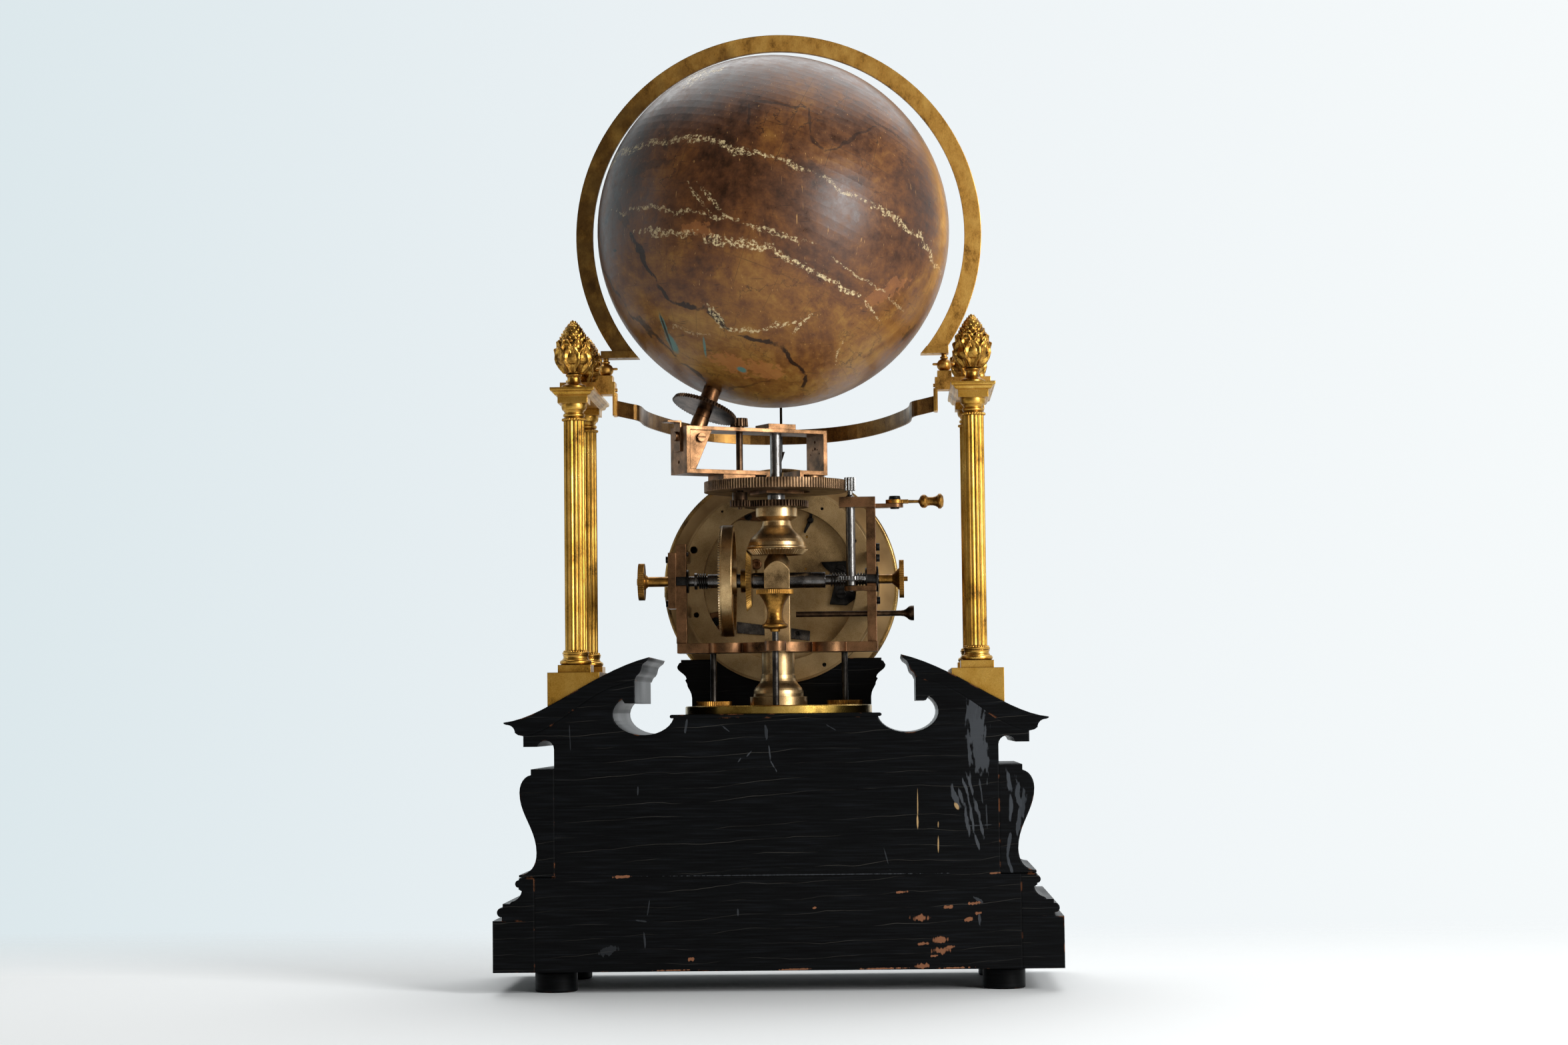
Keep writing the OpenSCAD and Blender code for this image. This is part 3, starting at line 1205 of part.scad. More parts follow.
// A wheel drawn in X and Z with its bore
module wheel_y(p, y, h, n, m, a0, bore) {
    along_y(y, y + h) translate(p) difference() {
        gear_2d(n, m, 0.75, 1.05, 0.12, a0);
        if (bore > 0) circle(r = bore);
    }
}
// Arbor between the plates with a pivot at each end
module arbor_y(p, r) {
    at(p, 0) turn_z([[0, y_plate + 0.3], [piv_r, y_plate + 0.3], [piv_r, y_in + 0.25], [r, y_in + 0.25],
        [r, y_out - 0.25], [piv_r, y_out - 0.25], [piv_r, y_out + plate_t - 0.3],
            [0, y_out + plate_t - 0.3]]);
}

bezel_y = y_dial + gap;
bezel_t = 5;
pin_r = 0.8;
pin_x = -(drum_r - 1.2);
pin_y = bezel_y + 2.5;
lug_r = 2;
lug_h = 3.2;
lug_at = 2.8;

module drum_case() {
    color("#c2a253") {
        difference() {
            union() {
                at([0, z_drum], 0) rotate_extrude($fn = 120) polygon([[body_ri, y_drum], [body_r, y_drum],
                    [body_r, y_pan], [drum_r - 1, y_pan], [drum_r, y_pan + 1], [drum_r, y_dial],
                    [drum_r - drum_wall, y_dial], [drum_r - drum_wall, y_pan + drum_wall],
                        [body_ri, y_pan + drum_wall]]);
                for (s = [-1, 1]) translate([pin_x, pin_y, z_drum + s * (lug_at + lug_h / 2)]) {
                    translate([0, 0, -lug_h / 2]) cylinder(h = lug_h, r = lug_r);
                    translate([-1.2, y_dial - pin_y - 2, -lug_h / 2])
                        cube([2.4, pin_y - y_dial + 2, lug_h]);
                }
            }
            translate([pin_x, pin_y, z_drum - 8]) cylinder(h = 16, r = pin_r);
        }
        translate([pin_x, pin_y, z_drum - lug_at - lug_h]) cylinder(h = 2 * (lug_at + lug_h), r = pin_r);
    }
}

module back_plate() {
    color("#a08355") difference() {
        at([0, z_drum], 0) turn_z([[recess_r, y_drum + back_in], [body_ri, y_drum + back_in],
            [body_ri, y_drum + back_in + back_t], [recess_r + recess_t, y_drum + back_in + back_t],
            [recess_r + recess_t, y_plate], [recess_r, y_plate]]);
        for (h = [[52, 29, 1.2], [56, -62, 1.2], [56, 128, 0.7], [52, 60, 0.9], [54, 200, 1.6],
            [56, 158, 2.2]])
            at([h[0] * cos(h[1]), z_drum + h[0] * sin(h[1])], y_drum) cylinder(h = 6, r = h[2]);
    }
}

module cradle_board() {
    half = concat([[54.3, z_foot], [54.3, z_foot + 9.5]], bez([[54.3, z_foot + 10], [54.6, z_foot + 15],
        [57.4, z_foot + 16], [57.2, z_foot + 18.6]], 5), [[58.4, z_foot + 20.8], [57.5, z_foot + 21.6]],
        bez([[57.5, z_foot + 21.6], [58, z_foot + 25], [63.4, z_foot + 26], [63.2, z_foot + 29]], 6),
        [[61.8, z_foot + 31.4], [60.8, z_foot + 31.6], [60.8, z_foot + 33.2], [52, z_foot + 33.2]]);
    color("#17171c") difference() {
        along_y(cradle_y[0], cradle_y[1]) polygon(concat(half, flip(half)));
        at([0, z_drum], y_drum) cylinder(h = drum_d, r = body_r, $fn = 120);
        at_axis(z_foot - 1) cylinder(h = disc_t + 1, r = disc_r + gap);
    }
}

module bezel() {
    ri = drum_r - bezel_w;
    color("#c8a24c") difference() {
        at([0, z_drum], 0) rotate_extrude($fn = 120) polygon([[ri, bezel_y + 3], [ri + 1.7, bezel_y + 3],
            [ri + 1.7, bezel_y], [drum_r, bezel_y], [drum_r, bezel_y + 2.4], [drum_r - 1.4, bezel_y + 4],
            [drum_r - 3.2, bezel_t + bezel_y], [ri + 2, bezel_t + bezel_y], [ri, bezel_y + 4]]);
        for (s = [-1, 1]) translate([-drum_r - 2, bezel_y - 1,
            z_drum + s * (lug_at + lug_h / 2) - lug_h / 2 - gap])
            cube([drum_r + 2 + pin_x + lug_r + 0.5, bezel_t + 2, lug_h + 2 * gap]);
        translate([pin_x, pin_y, z_drum - 10]) cylinder(h = 20, r = pin_r + run);
    }
}

module glass() {
    color("#dfe8ea", 0.35) at([0, z_drum], bezel_y + 1.5)
        cylinder(h = 1.5, r = drum_r - bezel_w + 1.5, $fn = 120);
}

y_face = y_dial - 5.5;
hour_r = 2.4;
module dial() {
    color("#ece6d6") difference() {
        union() {
            at([0, z_drum], y_face) cylinder(h = dial_t, r = drum_r - drum_wall, $fn = 120);
            for (a = [45:90:315]) at([34 * cos(a), z_drum + 34 * sin(a)], y_out + plate_t)
                cylinder(h = y_face - y_out - plate_t, r = 2);
        }
        at(p_centre, y_face - 1) cylinder(h = 5, r = hour_r + 0.6);
        at(p_barrel, y_face - 1) cylinder(h = 5, r = 3.2);
    }
}

// Tapered hand of pierced form, pointing up at rest
module hand_2d(l, w) {
    difference() {
        union() {
            circle(r = w * 0.9);
            polygon([[-w * 0.22, 0], [w * 0.22, 0], [w * 0.3, l * 0.62], [0, l], [-w * 0.3, l * 0.62]]);
            translate([0, l * 0.6]) circle(r = w * 0.62);
            translate([0, -l * 0.16]) circle(r = w * 0.4);
            translate([-w * 0.2, -l * 0.16]) square([w * 0.4, l * 0.2]);
        }
        translate([0, l * 0.6]) circle(r = w * 0.36);
    }
}

module minute_hand() {
    y = y_face + dial_t + 3.4;
    color("#23242a") {
        at(p_centre, 0) turn_z([[0, y_plate + 0.3], [piv_r, y_plate + 0.3], [piv_r, y_in + 0.25],
            [1.2, y_in + 0.25],
            [1.2, y], [0, y]]);
        wheel_y(p_centre, y_motion, wheel_th, cannon_n, motion_m, bearing(p_centre, p_idler), 1.2);
        along_y(y, y + 0.8) translate(p_centre) hand_2d(dial_r * 0.86, 4.4);
        at(p_centre, y + 0.8) cylinder(h = 0.8, r = 1.8);
    }
}

module hour_hand() {
    y = y_face + dial_t + 1.4;
    color("#23242a") {
        at(p_centre, 0) turn_z([[1.25, y_out + plate_t + 0.4], [hour_r, y_out + plate_t + 0.4],
            [hour_r, y], [1.25, y]]);
        along_y(y, y + 0.8) translate(p_centre) rotate(60) difference() {
            hand_2d(dial_r * 0.56, 5.6);
            circle(r = 1.25);
        }
    }
}

module movement_plates() {
    module plate(y, r, holes) {
        difference() {
            at([0, z_drum], y) cylinder(h = plate_t, r = r);
            for (p = holes) at(p, y - 1) cylinder(h = plate_t + 2, r = piv_r + run);
            if (y > y_in) {
                at(p_centre, y - 1) cylinder(h = plate_t + 2, r = hour_r + run);
                at(p_barrel, y - 1) cylinder(h = plate_t + 2, r = 2.2 + run);
            }
        }
    }
    color("#b0925c") {
        plate(y_plate, recess_r + recess_t,
            concat([p_centre, p_transfer, p_idler, p_barrel], front_pivots));
        plate(y_out, recess_r - 2, front_pivots);
        for (a = [25, 110, 215, 325]) at([40 * cos(a), z_drum + 40 * sin(a)], y_in)
            turn_z([[0, 0], [2.6, 0], [1.9, 1.5], [1.9, plate_gap - 1.5], [2.6, plate_gap],
                [0, plate_gap]]);
    }
}

barrel_ro = 21;
module mainspring_barrel() {
    h = 8;
    y1 = y_great + 1.8;
    color("#b89548") {
        difference() {
            union() {
                wheel_y(p_barrel, y_great, 1.8, great_n, great_m, bearing(p_barrel, p_centre), 0);
                at(p_barrel, y1) cylinder(h = h, r = barrel_ro);
            }
            at(p_barrel, y1) cylinder(h = h - 1, r = barrel_ro - 1);
            at(p_barrel, y_great - 1) cylinder(h = 20, r = 2.2);
        }
        at(p_barrel, 0) turn_z([[0, y_plate + 0.3], [piv_r, y_plate + 0.3], [piv_r, y_in + 0.25],
            [2.2, y_in + 0.25],
            [2.2, y_face + 0.5], [0, y_face + 0.5]]);
    }
    // Mainspring: one strip wound from the arbor to the barrel's wall
    turns = 7;
    steps = 20 * turns;
    inner = 2.9;
    pitch = (barrel_ro - 1 - inner - 1.2) / turns;
    strip = 0.8;
    color("#5d6470") at(p_barrel, y1 + 0.8) linear_extrude(h - 2.6) polygon(concat(
        [for (i = [0:steps]) (inner + pitch * i / 20) * [cos(18 * i), sin(18 * i)]],
        [for (i = [steps:-1:0]) (inner + strip + pitch * i / 20) * [cos(18 * i), sin(18 * i)]]));
}

module centre_wheel() {
    a_pinion = mesh(bearing(p_barrel, p_centre), great_n, bearing(p_barrel, p_centre), centre_pn);
    color("#b89548") difference() {
        union() {
            wheel_y(p_centre, y_great - 0.3, 2.6, centre_pn, great_m, a_pinion, 0);
            at(p_centre, y_great + 2.3) cylinder(h = y_centre - y_great - 2.3, r = 2.2);
            wheel_y(p_centre, y_centre, wheel_th, centre_n, centre_m, bearing(p_centre, p_third), 0);
            at(p_centre, y_centre + wheel_th) cylinder(h = y_out - gap - y_centre - wheel_th, r = 2);
        }
        at(p_centre, y_in) cylinder(h = plate_gap, r = 1.2 + run);
    }
}

module idler_wheel() {
    t = bearing(p_centre, p_idler);
    color("#b89548") {
        wheel_y(p_idler, y_motion, wheel_th, idler_n, motion_m, mesh(t, cannon_n, t, idler_n), 0);
        at(p_idler, 0) turn_z([[0, y_plate + 0.3], [piv_r, y_plate + 0.3], [piv_r, y_motion],
            [0, y_motion]]);
    }
}

module transfer_arbor() {
    t = bearing(p_centre, p_idler);
    a_idler = mesh(t, cannon_n, t, idler_n);
    a_wheel = mesh(bearing(p_idler, p_transfer), idler_n, a_idler, transfer_n);
    y0 = axis_y + crown_rm - 0.8;
    color("#a9814a") {
        along_y(y0, y0 + 1.6) translate(p_transfer)
            gear_2d(drive_pn, crown_m, 0.7, 1.1, 0.14, 180 / drive_pn);
        at(p_transfer, 0) turn_z([[0, y0 + 1.6], [1, y0 + 1.6], [1, y_plate - gap],
            [piv_r, y_plate - gap],
            [piv_r, y_motion], [0, y_motion]]);
        wheel_y(p_transfer, y_motion, wheel_th, transfer_n, motion_m, a_wheel, 0);
    }
}

y_third = y_in + 7;
module third_wheel() {
    a0 = mesh(bearing(p_centre, p_third), centre_n, bearing(p_centre, p_third), third_pn);
    color("#b89548") {
        arbor_y(p_third, 0.95);
        wheel_y(p_third, y_centre - 0.4, wheel_th + 0.8, third_pn, centre_m, a0, 0);
        wheel_y(p_third, y_third, wheel_th, third_n, third_m, bearing(p_third, p_escape), 0);
    }
}

module escape_wheel() {
    a0 = mesh(bearing(p_third, p_escape), third_n, bearing(p_third, p_escape), escape_pn);
    color("#c0a060") {
        arbor_y(p_escape, 0.85);
        wheel_y(p_escape, y_third - 0.3, wheel_th + 0.6, escape_pn, third_m, a0, 0.85);
        along_y(y_third + 3, y_third + 3.7) translate(p_escape) difference() {
            polygon([for (i = [0:14]) for (q = [[4.8, 2], [5.9, 12], [5.3, 13]]) let (a = 24 * i + q[1])
                q[0] * [cos(a), sin(a)]]);
            circle(r = 0.85);
        }
    }
}

staff_r = 0.4;
module balance() {
    color("#c8a24c") {
        at(p_balance, 0) turn_z([[0, y_plate + 0.3], [piv_r, y_plate + 0.3], [piv_r, y_in + 0.25],
            [staff_r, y_in + 0.25],
            [staff_r, y_out - 0.25], [piv_r, y_out - 0.25], [piv_r, y_out + plate_t - 0.3],
                [0, y_out + plate_t - 0.3]]);
        along_y(y_third - 3, y_third - 1.8) translate(p_balance) difference() {
            union() {
                difference() {
                    circle(r = 5.4);
                    circle(r = 4.5);
                }
                for (a = [0:120:240]) rotate(a) translate([0, -0.4]) square([5, 0.8]);
                circle(r = 1.1);
            }
            circle(r = staff_r);
        }
    }
}

plinth();
base_moulding();
case_body();
back_board();
side_consoles();
pediment_cornices();
feet();
column_blocks();
column_bases();
column_shafts();
column_capitals();
entablatures();
finials();
ring_brackets();
light_ring();
sun_strap();
sun_pointer();
base_disc();
levelling_rods();
levelling_nuts();
cup_nut();
pillar();
frame_plate();
frame_uprights();
bushes_and_screws();
central_shaft();
main_shaft();
bevel_wheel();
drive_wheel();
shaft_spring();
worm();
shaft_knobs();
day_bell();
sun_gear();
annual_gear();
cage();
trunnion_block();
planet_arbor();
globe_arbor();
globe_wheel();
globe();
annual_arbor();
push_rod();
setting_lever();
drum_case();
back_plate();
cradle_board();
bezel();
glass();
dial();
minute_hand();
hour_hand();
movement_plates();
mainspring_barrel();
centre_wheel();
idler_wheel();
transfer_arbor();
third_wheel();
escape_wheel();
balance();
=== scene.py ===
import math

import bmesh
import bpy
from mathutils import Matrix, Vector


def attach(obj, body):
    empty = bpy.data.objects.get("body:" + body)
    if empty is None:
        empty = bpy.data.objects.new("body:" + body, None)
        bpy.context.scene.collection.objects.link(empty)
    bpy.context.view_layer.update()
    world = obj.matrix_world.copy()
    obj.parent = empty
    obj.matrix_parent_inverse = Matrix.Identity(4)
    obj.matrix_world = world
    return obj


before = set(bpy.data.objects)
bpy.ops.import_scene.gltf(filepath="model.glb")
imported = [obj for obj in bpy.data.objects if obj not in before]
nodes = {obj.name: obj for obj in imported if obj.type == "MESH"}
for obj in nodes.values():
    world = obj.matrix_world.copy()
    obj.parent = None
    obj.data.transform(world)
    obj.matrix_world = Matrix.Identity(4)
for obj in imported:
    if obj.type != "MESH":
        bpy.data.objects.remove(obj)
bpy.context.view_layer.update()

# Case: pear or oak glued up from boards, flush at the back, stained black and polished. Fine pale
# hairlines run along the grain, and the brown wood shows at worn edges. Lengths below are in mm,
# and the scale of a noise is in cells per metre.
MM = 0.001


def srgb(hex_colour):
    """Linear colour of a hex value such as 2b1d10."""
    parts = [int(hex_colour[i : i + 2], 16) / 255 for i in (0, 2, 4)]
    return [c / 12.92 if c <= 0.04045 else ((c + 0.055) / 1.055) ** 2.4 for c in parts] + [1.0]


def node(tree, kind, inputs=(), stops=(), **settings):
    """Adds a node: inputs are (socket, value or socket to link), stops are a ramp's (place, colour)."""
    made = tree.nodes.new(kind)
    for name, value in settings.items():
        setattr(made, name, value)
    for key, value in inputs:
        if isinstance(value, bpy.types.NodeSocket):
            tree.links.new(value, made.inputs[key])
        else:
            made.inputs[key].default_value = value
    if stops:
        ramp = made.color_ramp
        while len(ramp.elements) < len(stops):
            ramp.elements.new(0.5)
        for element, (place, colour) in zip(ramp.elements, stops):
            element.position = place
            element.color = srgb(colour)
    return made


def finish_of(name):
    """A new material with an empty tree, and the socket its surface goes to."""
    made = bpy.data.materials.new(name)
    made.use_nodes = True
    made.node_tree.nodes.clear()
    out = made.node_tree.nodes.new("ShaderNodeOutputMaterial")
    return made, made.node_tree, out.inputs["Surface"]


def wear(*names, finish):
    """Gives CAD nodes their finish."""
    for name in names:
        mesh = nodes[name].data
        mesh.materials.clear()
        mesh.materials.append(finish)


def corners(tree, radius, flattest, most):
    """The normal softened over a radius, and a mask up to most where that turns it, at corners."""
    soft = node(tree, "ShaderNodeBevel", [("Radius", radius * MM)], samples=4).outputs[0]
    flat = node(tree, "ShaderNodeNewGeometry").outputs["Normal"]
    same = node(tree, "ShaderNodeVectorMath", [(0, soft), (1, flat)], operation="DOT_PRODUCT")
    found = node(
        tree, "ShaderNodeMapRange",
        [("Value", same.outputs["Value"]), ("From Min", flattest), ("From Max", 0.8), ("To Max", most)],
    )
    return soft, found.outputs[0]


STROKE_FALL = 2.5


def marks(tree, place, ragged, lines, edge):
    """Mask of strokes: each line is (half width, strength, (x, z), (x, z), ...) on the XZ plane."""
    found = 0.0
    for half, strength, *points in lines:
        for (x0, z0), (x1, z1) in zip(points, points[1:]):
            reach = math.hypot(x1 - x0, z1 - z0) / 2 + half
            local = node(
                tree, "ShaderNodeMapping",
                [("Vector", place), ("Location", ((x0 + x1) / 2 * MM, 0, (z0 + z1) / 2 * MM)),
                 ("Rotation", (0, -math.atan2(z1 - z0, x1 - x0), 0)),
                 ("Scale", (reach * MM, 1000, half * MM))],
                vector_type="TEXTURE",
            )
            far = node(tree, "ShaderNodeVectorMath", [(0, local.outputs[0])], operation="LENGTH")
            torn = node(
                tree, "ShaderNodeMath", [(0, ragged), (1, edge), (2, far.outputs["Value"])],
                operation="MULTIPLY_ADD",
            )
            inside = node(
                tree, "ShaderNodeMath",
                [(0, torn.outputs[0]), (1, -STROKE_FALL), (2, STROKE_FALL * (1 + edge / 2))],
                operation="MULTIPLY_ADD",
            )
            hit = node(tree, "ShaderNodeMath", [(0, inside.outputs[0]), (1, strength)], operation="MINIMUM")
            most = node(tree, "ShaderNodeMath", [(0, hit.outputs[0]), (1, found)], operation="MAXIMUM")
            found = most.outputs[0]
    return found


def ebonised_wood(name, hairline_gap, hairlines, polish, scars=()):
    """Black wood with a hairline every gap; scars are (colour, edge raggedness, lines for marks)."""
    made, tree, surface = finish_of(name)
    place = node(tree, "ShaderNodeTexCoord").outputs["Object"]
    grain = node(tree, "ShaderNodeMapping", [("Vector", place), ("Scale", (35, 70, 900))])
    fibres = node(tree, "ShaderNodeTexNoise", [("Vector", grain.outputs[0]), ("Scale", 1), ("Detail", 4)])
    wide = node(tree, "ShaderNodeTexNoise", [("Vector", place), ("Scale", 14), ("Detail", 4)])
    base = node(
        tree, "ShaderNodeValToRGB", [("Fac", fibres.outputs["Fac"])],
        stops=[(0.3, "020203"), (0.52, "060708"), (0.75, "101215")],
    )
    # Hairlines: open pores in long wavering rows along the grain, rising a little to the right
    waver = node(tree, "ShaderNodeTexNoise", [("Vector", place), ("Scale", 16), ("Detail", 3)])
    split = node(tree, "ShaderNodeSeparateXYZ", [("Vector", place)])
    level = node(
        tree, "ShaderNodeMath", [(0, split.outputs["X"]), (1, -0.05), (2, split.outputs["Z"])],
        operation="MULTIPLY_ADD",
    )
    shift = node(
        tree, "ShaderNodeMath", [(0, waver.outputs["Fac"]), (1, 11 * MM), (2, level.outputs[0])],
        operation="MULTIPLY_ADD",
    )
    rows = node(
        tree, "ShaderNodeMath", [(0, shift.outputs[0]), (1, hairline_gap * MM)], operation="PINGPONG"
    )
    line = node(
        tree, "ShaderNodeMapRange",
        [("Value", rows.outputs[0]), ("From Min", 0.06 * MM), ("From Max", 0.16 * MM),
         ("To Min", 1), ("To Max", 0)],
    )
    dashes = node(tree, "ShaderNodeMapping", [("Vector", place), ("Scale", (26, 26, 160))])
    broken = node(tree, "ShaderNodeTexNoise", [("Vector", dashes.outputs[0]), ("Scale", 1), ("Detail", 6)])
    whole = node(
        tree, "ShaderNodeMapRange",
        [("Value", broken.outputs["Fac"]), ("From Min", 0.44), ("From Max", 0.68), ("To Max", hairlines)],
    )
    pores = node(
        tree, "ShaderNodeMath", [(0, line.outputs[0]), (1, whole.outputs[0])], operation="MULTIPLY"
    )
    last = node(
        tree, "ShaderNodeMix",
        [(0, pores.outputs[0]), (6, base.outputs["Color"]), (7, srgb("77736b"))], data_type="RGBA",
    ).outputs[2]
    # Edges: the stain is rubbed off where a corner sticks out
    soft, rubbed = corners(tree, 1.2, 0.97, 1)
    chips = node(tree, "ShaderNodeTexNoise", [("Vector", place), ("Scale", 110), ("Detail", 6)])
    chipped = node(
        tree, "ShaderNodeMapRange",
        [("Value", chips.outputs["Fac"]), ("From Min", 0.58), ("From Max", 0.64), ("To Max", 0.85)],
    )
    edge = node(tree, "ShaderNodeMath", [(0, rubbed), (1, chipped.outputs[0])], operation="MULTIPLY")
    last = node(
        tree, "ShaderNodeMix", [(0, edge.outputs[0]), (6, last), (7, srgb("8a5534"))], data_type="RGBA"
    ).outputs[2]
    # Scars break up into short ridges along the height
    ridged = node(tree, "ShaderNodeMapping", [("Vector", place), ("Scale", (520, 520, 150))])
    ragged = node(tree, "ShaderNodeTexNoise", [("Vector", ridged.outputs[0]), ("Scale", 1), ("Detail", 5)])
    for tone, torn, lines in scars:
        hit = marks(tree, place, ragged.outputs["Fac"], lines, torn)
        mixed = node(tree, "ShaderNodeMix", [(0, hit), (6, last), (7, srgb(tone))], data_type="RGBA")
        last = mixed.outputs[2]
    rough = node(
        tree, "ShaderNodeMapRange",
        [("Value", wide.outputs["Fac"]), ("From Min", 0.3), ("From Max", 0.7),
         ("To Min", polish), ("To Max", polish + 0.12)],
    )
    rise = node(
        tree, "ShaderNodeMath", [(0, pores.outputs[0]), (1, -0.8), (2, fibres.outputs["Fac"])],
        operation="MULTIPLY_ADD",
    )
    bump = node(
        tree, "ShaderNodeBump",
        [("Height", rise.outputs[0]), ("Strength", 0.2), ("Distance", 0.2 * MM), ("Normal", soft)],
    )
    skin = node(
        tree, "ShaderNodeBsdfPrincipled",
        [("Base Color", last), ("Roughness", rough.outputs[0]), ("IOR", 1.5), ("Specular IOR Level", 0.07),
         ("Normal", bump.outputs[0])],
    )
    tree.links.new(skin.outputs[0], surface)
    return made


case_black = ebonised_wood("ebonised_polished_wood", 4.5, 0.2, 0.28)
wear("plinth", "base_moulding", "case_body", "pediment_cornices", "cradle_board", finish=case_black)

# Consoles: shaped boards glued to both ends of the case, in the same stained wood. The right one
# is scraped grey down its flank.
console_scrapes = [
    ("4b4f54", 2.4, [
        (1.6, 0.5, (137, 118), (139, 104), (137, 90)), (1.2, 0.6, (131, 126), (134, 112), (133, 98)),
        (1.0, 0.5, (133, 90), (131, 76), (134, 66)), (1.8, 0.4, (141, 112), (139, 96)),
    ]),
]
wear("side_consoles", finish=ebonised_wood("ebonised_scraped_consoles", 4.5, 0.2, 0.3, console_scrapes))

# Back board: one wide board over a lower panel, let in flush between the ends, with the scars of
# handling on the right. Grey scars are only in the stain, brown chips go down to the wood.
joints = [
    (0.35, 0.9, (-138.8, 66.2), (138.8, 66.2)), (0.3, 0.9, (-138.6, 13), (-138.6, 66)),
    (0.3, 0.9, (138.6, 13), (138.6, 66)),
]
grey_scars = [
    (5.2, 0.62, (113.8, 163), (114.2, 152)), (5.6, 0.7, (114.5, 154), (115.4, 141)),
    (5.4, 0.66, (115.5, 144), (116.7, 127)), (0.7, 0.6, (109.6, 153.8), (110.6, 122.4), (110.8, 114.1)),
    (1.5, 0.7, (100.1, 115), (104.1, 104.2)),
    (1.1, 0.75, (103.4, 116.7), (107.4, 104.2), (109.7, 88.5)),
    (0.9, 0.8, (106, 120.8), (109.5, 110.8), (112.2, 90.1), (115.4, 80.1)),
    (1, 0.75, (109.3, 121.5), (112.5, 110.8), (115.6, 97.5), (118, 86.7)),
    (0.35, 0.5, (106.5, 93.5), (123, 94.1)), (0.5, 0.5, (115.9, 119.8), (117.7, 105.7)),
    (0.4, 0.4, (119.5, 104), (119.8, 94)), (0.9, 0.35, (-5.3, 151.8), (-5.4, 143.5)),
    (0.55, 0.6, (-3.8, 139.4), (-3.1, 131.9), (0.1, 126.1)), (0.5, 0.6, (-14.3, 137), (-16.3, 134.6)),
    (0.4, 0.5, (-19.9, 133.5), (-21.6, 131.2)), (0.8, 0.45, (-50.8, 154.8), (-51.9, 149)),
    (0.4, 0.4, (-31, 152.4), (-26.1, 148.4)), (0.4, 0.4, (-79, 117.6), (-79.1, 112.6)),
    (0.6, 0.4, (-76.2, 34.4), (-75.4, 26.9)), (0.4, 0.35, (-81, 41.9), (-74.4, 41)),
    (0.4, 0.3, (-72.6, 54.2), (-73.9, 46.7)), (0.5, 0.5, (-22.6, 47), (-22.6, 44.2)),
    (2.4, 0.25, (-100.3, 23.9), (-92.8, 25.5)), (0.3, 0.35, (60.5, 83), (63.5, 72)),
    (0.3, 0.3, (-118, 152), (-117.4, 138)), (0.3, 0.3, (29, 152), (34, 149)),
    (0.9, 0.5, (112, 53), (117, 50)), (1, 0.6, (114.5, 45), (114.8, 37)),
    (0.3, 0.5, (-62, 66.8), (90, 66.9)),
]
pale_lines = [
    (0.35, 0.75, (80.6, 114.4), (80.5, 99)), (0.6, 0.9, (80.4, 100), (80.3, 92.1)),
    (0.35, 0.6, (92.1, 96.1), (92, 93)), (0.4, 0.8, (92, 88), (91.9, 78.7)),
    (1.2, 0.7, (102, 106), (103.4, 103.6)),
]
brown_chips = [
    (size, 0.8, (x - wide, z), (x + wide, z + 0.4))
    for size, wide, x, z in (
        (1.8, 3.6, 81.9, 41.6), (1.9, 3, 92.5, 29.1), (2, 2.6, 92.4, 23), (1.5, 3.4, 82.4, 14.5),
        (1, 2.6, 83.4, 27.1), (1.1, 1.4, 97.7, 47.7), (1.2, 1, 108.3, 40.5), (0.9, 2.4, 111.7, 49.6),
        (1, 1.6, 114.2, 44), (0.8, 5, -88.2, 66.5), (1, 0.8, -49.1, 19.5), (0.7, 3, 70.5, 56.2),
        (0.8, 1.6, 97.7, 25), (0.7, 2, 89.1, 20.2), (0.6, 0.7, 21.1, 47.8), (0.5, 9, 10, 13.2),
        (0.5, 14, 60, 13.2), (0.5, 8, 100, 13.2), (0.4, 10, -60, 13.2), (0.5, 4, 125, 66.6),
    )
]
board_scars = [
    ("020202", 0.4, joints), ("46494d", 2.6, grey_scars), ("b39468", 0.8, pale_lines),
    ("875a40", 3, brown_chips),
]
wear("back_board", finish=ebonised_wood("ebonised_back_board", 4.2, 0.24, 0.3, board_scars))

# Feet: four turned buns of the same stained wood, pegged in under the plinth, rubbed duller by
# the table and without hairlines.
wear("feet", finish=ebonised_wood("ebonised_turned_feet", 30, 0, 0.4))


